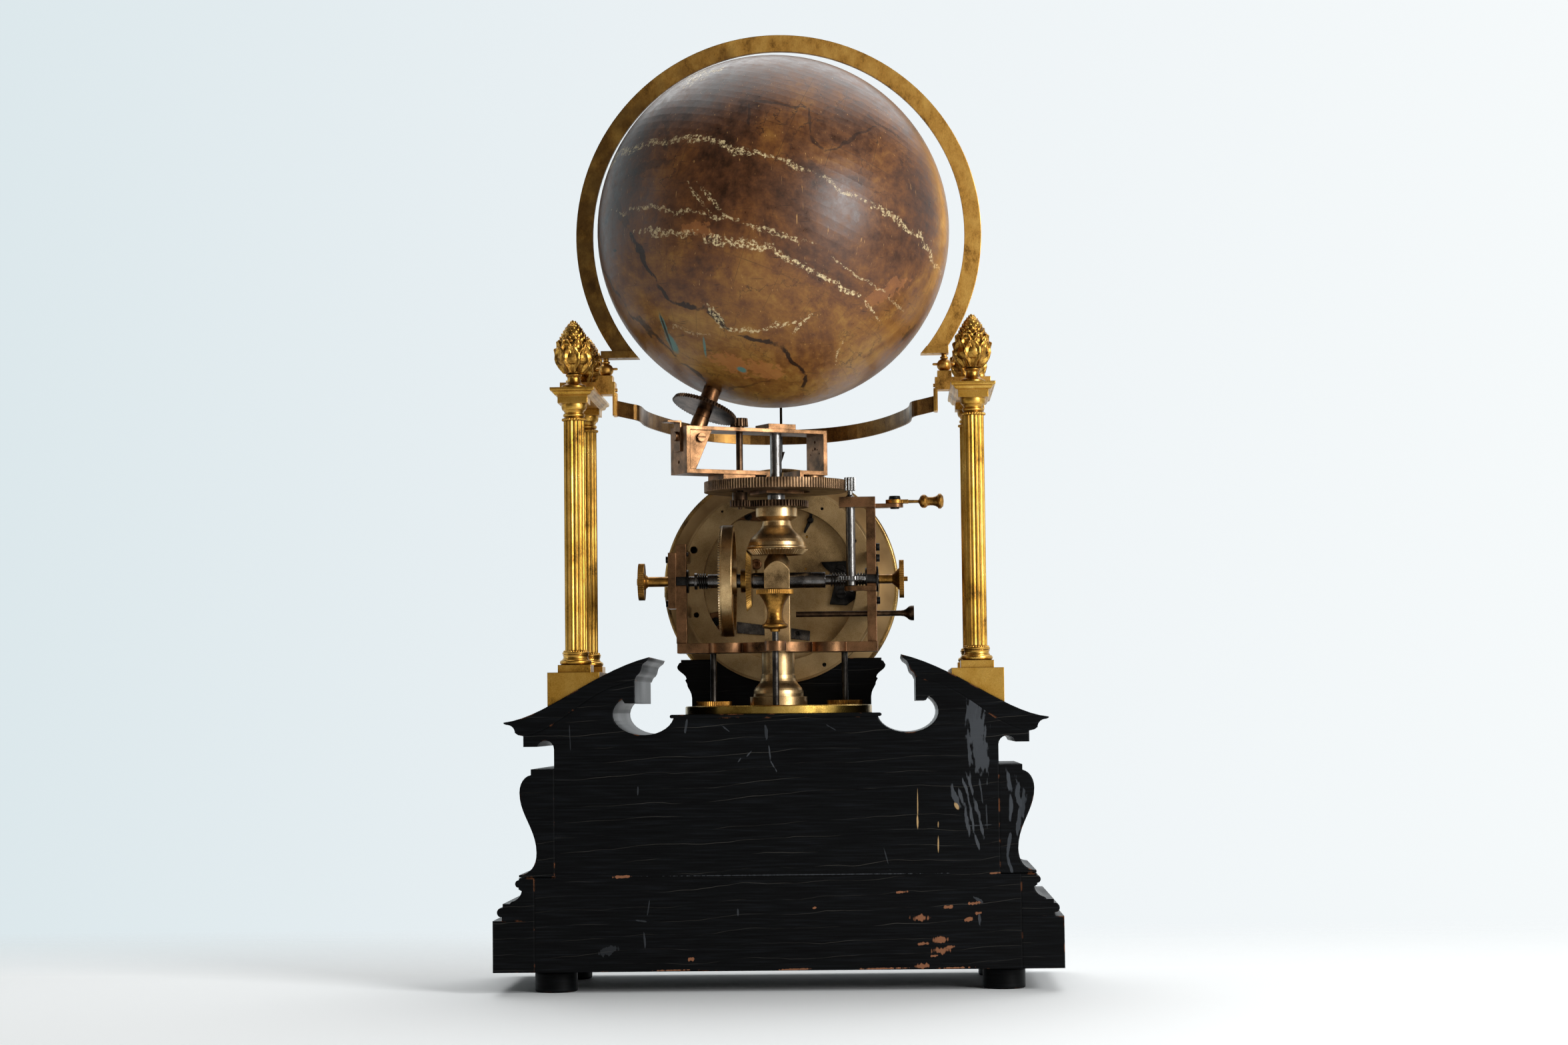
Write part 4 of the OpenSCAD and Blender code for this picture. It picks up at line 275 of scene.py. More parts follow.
# Columns: brass castings, filed and fire gilt, with fluted shafts, pearl rings and pine cone finials.
# The gilding is a satin yellow with a grainy sheen, darker where dirt sits in the hollows.
def aged_metal(name, bright, dull, dirt, rough, patch, grain, grain_depth, stretch=(1, 1, 1)):
    """Metal with patches of patina and a fine grain so many mm wide, clean edges and dirty hollows."""
    made, tree, surface = finish_of(name)
    place = node(tree, "ShaderNodeTexCoord").outputs["Object"]
    drawn = node(tree, "ShaderNodeMapping", [("Vector", place), ("Scale", stretch)])
    clouds = node(
        tree, "ShaderNodeTexNoise",
        [("Vector", drawn.outputs[0]), ("Scale", 1000 / patch), ("Detail", 6), ("Roughness", 0.62)],
    )
    specks = node(
        tree, "ShaderNodeTexNoise", [("Vector", drawn.outputs[0]), ("Scale", 1000 / grain), ("Detail", 3)]
    )
    mixed = node(
        tree, "ShaderNodeMath", [(0, specks.outputs["Fac"]), (1, 0.3), (2, clouds.outputs["Fac"])],
        operation="MULTIPLY_ADD",
    )
    tone = node(
        tree, "ShaderNodeValToRGB", [("Fac", mixed.outputs[0])],
        stops=[(0.44, dirt), (0.6, dull), (0.84, bright)],
    )
    soft, corner = corners(tree, 0.5, 0.98, 0.5)
    colour = node(
        tree, "ShaderNodeMix",
        [(0, corner), (6, tone.outputs["Color"]), (7, srgb(bright))], data_type="RGBA",
    )
    hollow = node(tree, "ShaderNodeAmbientOcclusion", [("Distance", 1.6 * MM)], samples=4)
    grime = node(
        tree, "ShaderNodeMapRange",
        [("Value", hollow.outputs["AO"]), ("From Min", 0.15), ("From Max", 0.65),
         ("To Min", 0.85), ("To Max", 0)],
    )
    soiled = node(
        tree, "ShaderNodeMix",
        [(0, grime.outputs[0]), (6, colour.outputs[2]), (7, srgb(dirt))], data_type="RGBA",
    )
    gloss = node(
        tree, "ShaderNodeMapRange",
        [("Value", mixed.outputs[0]), ("From Min", 0.4), ("From Max", 0.9),
         ("To Min", rough + 0.16), ("To Max", rough)],
    )
    bump = node(
        tree, "ShaderNodeBump",
        [("Height", specks.outputs["Fac"]), ("Strength", grain_depth), ("Distance", 0.1 * MM),
         ("Normal", soft)],
    )
    skin = node(
        tree, "ShaderNodeBsdfPrincipled",
        [("Base Color", soiled.outputs[2]), ("Metallic", 1), ("Roughness", gloss.outputs[0]),
         ("Normal", bump.outputs[0])],
    )
    tree.links.new(skin.outputs[0], surface)
    return made


gilding = aged_metal("satin_gilt_brass", "dcb05a", "b38535", "503414", 0.24, 22, 0.8, 0.3)
wear("column_blocks", "column_bases", "column_shafts", "column_capitals", "entablatures", finish=gilding)
# The finials are chased by hand, so old dirt fills their leaves
chased = aged_metal("chased_gilt_brass", "dcae55", "93682b", "2c1b0b", 0.24, 4, 0.8, 0.6)
wear("finials", finish=chased)
COL_X, COL_Y = 116, 37
SHAFT_FOOT, SHAFT_TOP, COLUMN_TOP = 196.4, 329.9, 348.6

# One tree repeats a small shape in a ring or a spiral round an upright axis, and sets the result at
# each place it belongs. The spiral narrows slowly at first, and then fast near its tip.
BULGE_POWER = 1.7
whorl = bpy.data.node_groups.new("whorl", "GeometryNodeTree")
port = {}
for kind, labels in (
    ("NodeSocketGeometry", ("Shape",)), ("NodeSocketInt", ("Count", "Across")),
    ("NodeSocketFloat", ("Turn", "Radius", "Taper", "Rise", "Shrink", "Height", "Span X", "Span Y")),
    ("NodeSocketMaterial", ("Finish",)),
):
    for label in labels:
        port[label] = whorl.interface.new_socket(label, in_out="INPUT", socket_type=kind).identifier
whorl.interface.new_socket("Shape", in_out="OUTPUT", socket_type="NodeSocketGeometry")
given = node(whorl, "NodeGroupInput").outputs
index = node(whorl, "GeometryNodeInputIndex").outputs[0]
row = node(whorl, "GeometryNodeMeshLine", [("Count", given["Count"]), ("Offset", (0, 0, 0))])
angle = node(whorl, "ShaderNodeMath", [(0, index), (1, given["Turn"])], operation="MULTIPLY").outputs[0]
part_way = node(whorl, "ShaderNodeMath", [(0, index), (1, given["Count"])], operation="DIVIDE").outputs[0]
bulge = node(whorl, "ShaderNodeMath", [(0, part_way), (1, BULGE_POWER)], operation="POWER").outputs[0]
lost = node(whorl, "ShaderNodeMath", [(0, bulge), (1, given["Taper"])], operation="MULTIPLY").outputs[0]
narrow = node(whorl, "ShaderNodeMath", [(0, 1), (1, lost)], operation="SUBTRACT").outputs[0]
radius = node(whorl, "ShaderNodeMath", [(0, narrow), (1, given["Radius"])], operation="MULTIPLY").outputs[0]
height = node(
    whorl, "ShaderNodeMath", [(0, part_way), (1, given["Rise"]), (2, given["Height"])],
    operation="MULTIPLY_ADD",
).outputs[0]
cosine = node(whorl, "ShaderNodeMath", [(0, angle)], operation="COSINE").outputs[0]
sine = node(whorl, "ShaderNodeMath", [(0, angle)], operation="SINE").outputs[0]
east = node(whorl, "ShaderNodeMath", [(0, cosine), (1, radius)], operation="MULTIPLY").outputs[0]
north = node(whorl, "ShaderNodeMath", [(0, sine), (1, radius)], operation="MULTIPLY").outputs[0]
spot = node(whorl, "ShaderNodeCombineXYZ", [(0, east), (1, north), (2, height)]).outputs[0]
ring = node(whorl, "GeometryNodeSetPosition", [("Geometry", row.outputs[0]), ("Position", spot)]).outputs[0]
facing = node(whorl, "ShaderNodeCombineXYZ", [(2, angle)]).outputs[0]
shrunk = node(whorl, "ShaderNodeMath", [(0, part_way), (1, given["Shrink"])], operation="MULTIPLY")
size = node(whorl, "ShaderNodeMath", [(0, 1), (1, shrunk.outputs[0])], operation="SUBTRACT").outputs[0]
around = node(
    whorl, "GeometryNodeInstanceOnPoints",
    [("Points", ring), ("Instance", given["Shape"]), ("Rotation", facing), ("Scale", size)],
).outputs[0]
sites = node(
    whorl, "GeometryNodeMeshGrid",
    [("Size X", given["Span X"]), ("Size Y", given["Span Y"]), ("Vertices X", given["Across"]),
     ("Vertices Y", given["Across"])],
).outputs[0]
placed = node(whorl, "GeometryNodeInstanceOnPoints", [("Points", sites), ("Instance", around)]).outputs[0]
real = node(whorl, "GeometryNodeRealizeInstances", [("Geometry", placed)]).outputs[0]
dressed = node(whorl, "GeometryNodeSetMaterial", [("Geometry", real), ("Material", given["Finish"])])
node(whorl, "NodeGroupOutput", [(0, dressed.outputs[0])])


def keep(name, shape, body, finish, moved=None):
    """Makes a finished piece of a bmesh or mesh, moved into place, that rides a body."""
    if isinstance(shape, bmesh.types.BMesh):
        bmesh.ops.recalc_face_normals(shape, faces=shape.faces)
        solid = bpy.data.meshes.new(name)
        shape.to_mesh(solid)
        shape.free()
    else:
        solid = shape
    if moved:
        solid.transform(moved)
    solid.materials.clear()
    solid.materials.append(finish)
    solid.shade_smooth()
    solid.set_sharp_from_angle(angle=math.radians(38))
    piece = bpy.data.objects.new(name, solid)
    bpy.context.scene.collection.objects.link(piece)
    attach(piece, body)
    return piece


def repeat(name, shape, body, finish, moved=None, **values):
    """Runs the whorl tree on a small shape in mm and keeps the result as one plain mesh."""
    seed = bpy.data.meshes.new(name + "_seed")
    bmesh.ops.recalc_face_normals(shape, faces=shape.faces)
    bmesh.ops.scale(shape, vec=(MM, MM, MM), verts=shape.verts)
    shape.to_mesh(seed)
    shape.free()
    carrier = bpy.data.objects.new(name + "_seed", seed)
    bpy.context.scene.collection.objects.link(carrier)
    grown = carrier.modifiers.new("whorl", "NODES")
    grown.node_group = whorl
    settings = dict.fromkeys(("Turn", "Radius", "Taper", "Rise", "Shrink", "Height"), 0.0)
    settings.update({"Count": 1, "Span X": 2.0 * COL_X, "Span Y": 2.0 * COL_Y, "Across": 2}, **values)
    for label, value in settings.items():
        length = label in ("Radius", "Rise", "Height", "Span X", "Span Y")
        grown[port[label]] = float(value) * MM if length else value
    grown[port["Finish"]] = finish
    ready = carrier.evaluated_get(bpy.context.evaluated_depsgraph_get())
    plain = bpy.data.meshes.new_from_object(ready)
    bpy.data.objects.remove(carrier)
    plain.name = name
    return keep(name, plain, body, finish, moved)


# Pearl rings at both ends of every shaft
for label, z in (("upper", SHAFT_TOP + 0.7), ("lower", SHAFT_FOOT - 0.7)):
    pearl = bmesh.new()
    bmesh.ops.create_icosphere(pearl, subdivisions=2, radius=0.82)
    repeat(f"pearls_{label}", pearl, "stand", gilding, Count=26, Turn=math.tau / 26, Radius=6.45, Height=z)


def leaf(foot_z, tip_z, foot_r, belly_r, tip_r, half_angle, curl):
    """Acanthus leaf with a hollow middle, rolled rims and a tip that curls outward."""
    made = bmesh.new()
    rows, cols = 12, 10
    grid = []
    for i in range(rows + 1):
        v = i / rows
        wide = math.sin(math.pi * (0.1 + 0.84 * v)) ** 0.55 * (1 + 0.1 * math.cos(v * 16))
        r = foot_r + (belly_r - foot_r) * math.sin(min(v, 0.6) / 0.6 * math.pi / 2)
        if v > 0.6:
            r += (tip_r - belly_r) * (v - 0.6) / 0.4
        line = []
        for j in range(cols + 1):
            u = 2 * j / cols - 1
            a = half_angle * wide * u
            rim, middle, rib = abs(u) ** 3, (1 - u * u) * math.sin(math.pi * v), math.exp(-30 * u * u)
            out = r + 1.1 * rim - 0.9 * middle + 0.35 * rib + curl * v**5
            level = foot_z + (tip_z - foot_z) * v - 1.2 * u * u * v
            line.append(made.verts.new((out * math.cos(a), out * math.sin(a), level)))
        grid.append(line)
    for i in range(rows):
        for j in range(cols):
            made.faces.new((grid[i][j], grid[i][j + 1], grid[i + 1][j + 1], grid[i + 1][j]))
    made.normal_update()
    bmesh.ops.solidify(made, geom=made.faces[:], thickness=0.9)
    return made


eighth = math.tau / 8
outer_leaf = leaf(9.2, 24, 5.2, 10.4, 9.4, 0.4, 1.2)
repeat("acanthus_outer", outer_leaf, "stand", chased, Count=8, Turn=eighth, Height=COLUMN_TOP)
inner_leaf = leaf(14, 28.4, 7.8, 9, 7.8, 0.3, 1.4)
bmesh.ops.rotate(inner_leaf, matrix=Matrix.Rotation(eighth / 2, 3, "Z"), verts=inner_leaf.verts)
repeat("acanthus_inner", inner_leaf, "stand", chased, Count=8, Turn=eighth, Height=COLUMN_TOP)

# Cone scales in a spiral, shrinking to the tip
scale_shape = bmesh.new()
bmesh.ops.create_icosphere(scale_shape, subdivisions=2, radius=1.6)
for vertex in scale_shape.verts:
    x, y, z = vertex.co
    vertex.co = (0.95 * x + 0.35 * max(z, 0), 1.35 * y * (1 - 0.35 * z), 1.15 * z + 0.3 * x)
repeat(
    "cone_scales", scale_shape, "stand", chased, Count=84, Turn=math.pi * (3 - math.sqrt(5)),
    Radius=7.9, Taper=0.93, Rise=15, Shrink=0.5, Height=COLUMN_TOP + 24.6,
)

# Light ring and its brackets: sheet brass, turned and lacquered; the lacquer has gone, so the satin
# gold is streaked with brown patina. The strap under the globe is the same brass, much darker.
rolled_sheet = ("ecbd66", "c08f45", "6b4a22", 0.28, 8, 0.6, 0.25, (1, 1, 0.6))
ring_brass = aged_metal("satin_sheet_brass", *rolled_sheet)
wear("ring_brackets", finish=ring_brass)


def cover(made, share, skin):
    """Lays a second skin over a finish, where share is 1."""
    surface = made.node_tree.nodes["Material Output"].inputs["Surface"]
    both = node(
        made.node_tree, "ShaderNodeMixShader", [(0, share), (1, surface.links[0].from_socket), (2, skin)]
    )
    made.node_tree.links.new(both.outputs[0], surface)


# Painted dark reflection: the left half of the ring is painted dark brown in patches, standing in for the
# dark room it mirrors on that side
left_shaded_brass = aged_metal("left_shaded_sheet_brass", *rolled_sheet)
tree = left_shaded_brass.node_tree
place = node(tree, "ShaderNodeTexCoord").outputs["Object"]
patches = node(
    tree, "ShaderNodeTexNoise", [("Vector", place), ("Scale", 55), ("Detail", 6), ("Roughness", 0.65)]
)
split = node(tree, "ShaderNodeSeparateXYZ", [("Vector", place)])
across = node(
    tree, "ShaderNodeMath", [(0, split.outputs["X"]), (1, -4), (2, patches.outputs["Fac"])],
    operation="MULTIPLY_ADD",
)
# Share of the painted dark reflection: strongest at the far left, fading with a patchy border towards the
# middle, none on the right
left_shade_share = node(
    tree, "ShaderNodeMapRange",
    [("Value", across.outputs[0]), ("From Min", 0.5), ("From Max", 0.95), ("To Max", 0.85)],
)
umber = node(
    tree, "ShaderNodeValToRGB", [("Fac", patches.outputs["Fac"])], stops=[(0.35, "33261a"), (0.7, "6f5230")]
)
brown = node(
    tree, "ShaderNodeBsdfPrincipled",
    [("Base Color", umber.outputs["Color"]), ("Metallic", 1), ("Roughness", 0.36)],
)
cover(left_shaded_brass, left_shade_share.outputs[0], brown.outputs[0])
wear("light_ring", finish=left_shaded_brass)
strap_brass = aged_metal("browned_strap_brass", "8f6a38", "604424", "2c1d10", 0.3, 22, 0.7, 0.2)
wear("sun_strap", finish=strap_brass)


def turned(made, profile, where, steps=28):
    """Adds a turned solid to a bmesh: the profile is (radius, height) from axis to axis, along local Z."""
    rings = []
    for r, z in profile:
        angles = [math.tau * k / steps for k in range(1 if r == 0 else steps)]
        spots = [Vector((r * math.cos(a), r * math.sin(a), z)) * MM for a in angles]
        rings.append([made.verts.new(where @ spot) for spot in spots])
    for low, high in zip(rings, rings[1:]):
        for k in range(steps):
            quad = ((low, k), (low, k + 1), (high, k + 1), (high, k))
            made.faces.new(list(dict.fromkeys(ring[at % len(ring)] for ring, at in quad)))


# Cross pins through the split balls under the ring's feet
PIN_X, PIN_Z = 93.4, 364.2
pin = [(0, 0), (0.55, 0.2), (0.75, 0.8), (0.75, 3), (0.6, 3.4), (0.6, 10.6), (0.85, 11), (0.85, 12.6)]
pins = bmesh.new()
for side in (-1, 1):
    where = Matrix.Translation((side * PIN_X * MM, 0, PIN_Z * MM))
    where = where @ Matrix.Rotation(side * math.pi / 2, 4, "Y")
    turned(pins, pin + [(0.5, 13.2), (0, 13.2)], where, 16)
keep("ring_cross_pins", pins, "stand", ring_brass)

# Steel pieces: the pointer, levelling rods and worm are blackened and oily, the shafts were ground
# bright and have gone grey with darker streaks, the small screws and the spring are black.
black_iron = aged_metal("oiled_dark_steel", "55514c", "2c2927", "131110", 0.32, 9, 0.5, 0.3)
wear("sun_pointer", "levelling_rods", "worm", finish=black_iron)
ground_steel = aged_metal("ground_steel", "a6a6a4", "5f5d5b", "262422", 0.2, 14, 0.5, 0.12, (1, 1, 0.25))
wear("central_shaft", "annual_arbor", finish=ground_steel)
dark_steel = aged_metal("dark_ground_steel", "7d7a78", "3a3837", "181716", 0.2, 12, 0.5, 0.12)
wear("main_shaft", finish=dark_steel)
screw_steel = aged_metal("blackened_steel", "3c3a38", "1f1e1d", "0d0c0c", 0.32, 8, 0.4, 0.2)
wear("bushes_and_screws", "shaft_spring", finish=screw_steel)

# Stand: a polished brass disc that carries a satin turned pillar and three threaded rods. The rods
# keep the frame plate level, set by knurled nuts that are brown from handling.
lathe_brass = aged_metal("polished_turned_brass", "dcb968", "a5863f", "57431c", 0.17, 20, 0.5, 0.1)
wear("base_disc", finish=lathe_brass)
pillar_bronze = aged_metal("satin_pillar_bronze", "dfc08e", "ad9066", "594730", 0.26, 18, 0.5, 0.12)
wear("pillar", finish=pillar_bronze)
nut_brass = aged_metal("handled_brass", "c08c42", "85602c", "3f2a12", 0.27, 8, 0.5, 0.2)
wear("levelling_nuts", "cup_nut", "shaft_knobs", "setting_lever", finish=nut_brass)

# Gear frame and cage: cast gunmetal gone coppery brown, satin where it was filed, screwed together.
# The wheels are cut from bronze and brass, and differ in how far they have browned.
frame_bronze = aged_metal("gunmetal_brown", "91694a", "60462f", "2b1f16", 0.25, 12, 0.5, 0.2)
wear("frame_plate", "frame_uprights", "cage", "trunnion_block", finish=frame_bronze)
gear_bronze = aged_metal("dark_gear_bronze", "967a5c", "634d39", "2a2018", 0.3, 10, 0.5, 0.2)
wear("annual_gear", finish=gear_bronze)
bell_bronze = aged_metal("turned_bell_bronze", "dabc8c", "ac8d61", "57442c", 0.25, 16, 0.5, 0.1)
wear("day_bell", "drive_wheel", finish=bell_bronze)
old_bronze = aged_metal("dark_old_bronze", "5f4936", "37291e", "15100b", 0.3, 8, 0.4, 0.25)
wear("globe_wheel", "push_rod", "planet_arbor", "sun_gear", finish=old_bronze)
wheel_brass = aged_metal("cut_wheel_brass", "a8803f", "6e522a", "2f2212", 0.28, 8, 0.4, 0.2)
wear(
    "bevel_wheel", "mainspring_barrel", "centre_wheel", "idler_wheel",
    "transfer_arbor", "third_wheel", "escape_wheel", "balance", finish=wheel_brass,
)
collar_bronze = aged_metal("brown_collar_bronze", "8d6443", "5e412b", "261810", 0.28, 10, 0.4, 0.15)
wear("globe_arbor", finish=collar_bronze)

# Drum clock: a spun brass case with a polished golden rim, a matt old brass back plate with a sunk
# round middle, an enamel dial under a glass in a hinged bezel, and blued steel hands.
drum_brass = aged_metal("spun_drum_brass", "cf9f43", "8a6228", "33210f", 0.22, 20, 0.5, 0.1)
wear("bezel", finish=drum_brass)
plate_brass = aged_metal("matt_plate_brass", "bfa57b", "9c825a", "5c4a33", 0.42, 40, 0.5, 0.15)
wear("back_plate", "movement_plates", finish=plate_brass)
DRUM_Z, FLANGE_R, PLATE_Y = 237.2, 69.5, 50.6
# The drum's back flange is matt like the plate it carries, and only its outer rim is polished
rimmed = aged_metal("rimmed_drum_brass", "c2a163", "826740", "33271a", 0.22, 20, 0.5, 0.1)
tree = rimmed.node_tree
place = node(tree, "ShaderNodeTexCoord").outputs["Object"]
centred = node(
    tree, "ShaderNodeMapping",
    [("Vector", place), ("Location", (0, 0, -DRUM_Z * MM)), ("Scale", (1, 0, 1))],
)
away = node(tree, "ShaderNodeVectorMath", [(0, centred.outputs[0])], operation="LENGTH")
flange = node(
    tree, "ShaderNodeMath", [(0, away.outputs["Value"]), (1, FLANGE_R * MM)], operation="LESS_THAN"
)
mottle = node(tree, "ShaderNodeTexNoise", [("Vector", place), ("Scale", 40), ("Detail", 5)])
dull = node(
    tree, "ShaderNodeValToRGB", [("Fac", mottle.outputs["Fac"])], stops=[(0.3, "745c3e"), (0.7, "aa9067")]
)
matt = node(
    tree, "ShaderNodeBsdfPrincipled",
    [("Base Color", dull.outputs["Color"]), ("Metallic", 1), ("Roughness", 0.45)],
)
cover(rimmed, flange.outputs[0], matt.outputs[0])
wear("drum_case", finish=rimmed)
on_plate = Matrix.Translation((0, PLATE_Y * MM, 0)) @ Matrix.Rotation(math.pi / 2, 4, "X")


def slab(made, outline, thick, where, rim=0.3):
    """Adds a flat plate to a bmesh: the outline in mm on local XY, its arris broken by rim."""
    centre = [sum(p[k] for p in outline) / len(outline) for k in (0, 1)]
    levels = []
    for z, inset in ((0, 0), (thick - rim, 0), (thick, rim)):
        ring = []
        for x, y in outline:
            away = Vector((x - centre[0], y - centre[1]))
            x, y = Vector((x, y)) - away.normalized() * inset
            ring.append(made.verts.new(where @ Vector((x * MM, y * MM, z * MM))))
        levels.append(ring)
    count = len(outline)
    for low, high in zip(levels, levels[1:]):
        for k in range(count):
            made.faces.new((low[k], low[(k + 1) % count], high[(k + 1) % count], high[k]))
    made.faces.new(levels[-1])
    made.faces.new(levels[0][::-1])


def slotted_screw(made, r, tall, where):
    """Adds a cheese head screw: two half discs over a lower disc, so that the slot is a real groove."""
    turned(made, [(0, 0), (r, 0), (r, tall * 0.5), (0, tall * 0.5)], where)
    gap = math.asin(0.16)
    upper = where @ Matrix.Translation((0, 0, tall * 0.5 * MM))
    for side in (0, math.pi):
        arc = [side + gap + (math.pi - 2 * gap) * k / 14 for k in range(15)]
        slab(made, [(r * math.cos(a), r * math.sin(a)) for a in arc], tall * 0.5, upper, 0.2)


# Fittings screwed to the sunk plate: a bridge and a block of brown bronze, a flat click spring of
# ground steel, and a black cock with a small detent. Their outlines are (x, z) in the frame.
bridge = bmesh.new()
arch = [(-38, 275), (-30, 281.5), (-16, 283), (-9, 279), (-11, 275.5), (-24, 276.5), (-34, 272.5)]
slab(bridge, arch, 2.2, on_plate)
slab(bridge, [(-44, 219.5), (-36, 221), (-33.6, 214), (-35, 207.6), (-42.6, 208.4)], 3.4, on_plate)
boss_at = on_plate @ Matrix.Translation((-14.2 * MM, 249.2 * MM, 0))
turned(bridge, [(0, 0), (3.2, 0), (3.2, 5), (2.7, 5.4), (1.4, 5.4), (1.4, 4), (0, 4)], boss_at)
keep("plate_bridge_and_block", bridge, "stand", collar_bronze)

spring = bmesh.new()
upper_edge = [(-27, 214.6), (-8, 212), (6, 210.3), (17.8, 208.4)]
lower_edge = [(17.4, 202.4), (4, 204.2), (-10, 206.2), (-26.4, 207.6)]
slab(spring, upper_edge + lower_edge, 1.1, on_plate, 0.2)
keep("click_spring", spring, "stand", dark_steel)

cock = bmesh.new()
outer_edge = [(24.9, 250.1), (42, 250.6), (46, 247), (44, 238), (46, 228), (40, 223.6)]
inner_edge = [(30, 224.4), (31.4, 230), (33, 236), (31.6, 243), (27.2, 246.6)]
slab(cock, outer_edge + inner_edge, 3, on_plate)
detent = [(14.6, 268.4), (15.6, 267.6), (19.6, 274.4), (20.2, 279.6), (18.6, 279.8), (17.6, 275.8)]
slab(cock, detent, 1, on_plate @ Matrix.Translation((0, 0, 3 * MM)), 0.2)
pivot_at = on_plate @ Matrix.Translation((18.8 * MM, 275.6 * MM, 0))
turned(cock, [(0, 0), (1.9, 0), (1.9, 4.4), (1.4, 5), (0, 5)], pivot_at)
for x, z, r, foot in (
    (-39.2, 214.6, 2.7, 3.4), (10.6, 207.2, 1.5, 1.1), (36.6, 244.9, 3.1, 3), (37, 230.4, 2.9, 3),
    (-18.9, 278.2, 2.2, 2.2),
):
    spot = Matrix.Translation((x * MM, z * MM, foot * MM))
    slotted_screw(cock, r, 2, on_plate @ spot @ Matrix.Rotation(0.7 + x, 4, "Z"))
keep("cock_detent_and_screws", cock, "stand", screw_steel)

# Dial: a copper disc under white enamel with fired black numerals, pinned in the drum's mouth
# under the bevelled glass of the bezel. The hands are blued steel.
blued_steel = aged_metal("blued_steel", "3a4f86", "232f57", "121833", 0.22, 12, 0.4, 0.05)
wear("minute_hand", "hour_hand", finish=blued_steel)

glass_clear, tree, surface = finish_of("bevelled_window_glass")
pane = node(
    tree, "ShaderNodeBsdfPrincipled",
    [("Base Color", srgb("f4f8f6")), ("Roughness", 0.02), ("IOR", 1.5), ("Transmission Weight", 1)],
)
tree.links.new(pane.outputs[0], surface)
wear("glass", finish=glass_clear)

enamel, tree, surface = finish_of("fired_white_enamel")
place = node(tree, "ShaderNodeTexCoord").outputs["Object"]
cloud = node(tree, "ShaderNodeTexNoise", [("Vector", place), ("Scale", 30), ("Detail", 3)])
white = node(
    tree, "ShaderNodeValToRGB", [("Fac", cloud.outputs["Fac"])], stops=[(0.3, "ece7da"), (0.7, "f6f3ea")]
)
fired = node(
    tree, "ShaderNodeBsdfPrincipled",
    [("Base Color", white.outputs["Color"]), ("Roughness", 0.12), ("IOR", 1.5)],
)
tree.links.new(fired.outputs[0], surface)
wear("dial", finish=enamel)

ink, tree, surface = finish_of("fired_black_enamel_ink")
place = node(tree, "ShaderNodeTexCoord").outputs["Object"]
cloud = node(tree, "ShaderNodeTexNoise", [("Vector", place), ("Scale", 600), ("Detail", 3)])
black = node(
    tree, "ShaderNodeValToRGB", [("Fac", cloud.outputs["Fac"])], stops=[(0.3, "08080a"), (0.8, "1c1a1a")]
)
dry = node(
    tree, "ShaderNodeBsdfPrincipled",
    [("Base Color", black.outputs["Color"]), ("Roughness", 0.3), ("IOR", 1.5)],
)
tree.links.new(dry.outputs[0], surface)

DIAL_Y, TRACK_IN, TRACK_OUT, TRACK_LINE = 79.6, 55.2, 57.4, 0.4
NUMERAL_FOOT, NUMERAL_TALL, INK_THICK = 42.5, 9.5, 0.06
on_dial = Matrix.Translation((0, DIAL_Y * MM, DRUM_Z * MM)) @ Matrix.Rotation(-math.pi / 2, 4, "X")
tick = bmesh.new()
half = TRACK_LINE / 2
tick_edge = [(TRACK_IN, -half), (TRACK_OUT, -half), (TRACK_OUT, half), (TRACK_IN, half)]
slab(tick, tick_edge, INK_THICK, Matrix.Scale(1000, 4), 0.01)
repeat(
    "minute_ticks", tick, "stand", ink, moved=on_dial, Count=60, Turn=math.tau / 60,
    **{"Span X": 0, "Span Y": 0, "Across": 1},
)
# Strokes of a numeral: from (x, share of the height) to (x, share), and how thick
strokes = {
    "I": [(0, 0, 0, 1, 1.1)],
    "V": [(-1.8, 1, 0, 0, 1.1), (1.8, 1, 0, 0, 0.5)],
    "X": [(-1.8, 1, 1.8, 0, 1.1), (1.8, 1, -1.8, 0, 0.5)],
}
advance = {"I": 1.9, "V": 4.4, "X": 4.4}
numerals = bmesh.new()
for hour, word in enumerate("I II III IIII V VI VII VIII IX X XI XII".split(), 1):
    across = -sum(advance[c] for c in word) / 2
    stand_up = on_dial @ Matrix.Rotation(math.pi - math.tau * hour / 12, 4, "Z")
    for letter in word:
        across += advance[letter] / 2
        for x0, y0, x1, y1, thick in strokes[letter]:
            low, high = (NUMERAL_FOOT + NUMERAL_TALL * y for y in (y0, y1))
            left, right = across - thick / 2, across + thick / 2
            stroke = [(left + x0, low), (right + x0, low), (right + x1, high), (left + x1, high)]
            slab(numerals, stroke, INK_THICK, stand_up, 0.01)
        across += advance[letter] / 2
keep("hour_numerals", numerals, "stand", ink)

# Globe: a shell of plaster covered with printed paper and varnished. The varnish has gone a deep
# brown; it is scuffed through to the pale paper in bands, with dark stain lines and a torn wedge.
GLOBE_Z, GLOBE_R = 444.6, 104.5
AXIS_TILT, AXIS_AROUND = math.radians(23.5), math.radians(30)
HALF_MESH = math.radians(15) / 2
varnished, tree, surface = finish_of("brown_varnished_globe_paper")
place = node(tree, "ShaderNodeTexCoord").outputs["Object"]
centred = node(
    tree, "ShaderNodeMapping", [("Vector", place), ("Location", (0, 0, -GLOBE_Z * MM))]
).outputs[0]
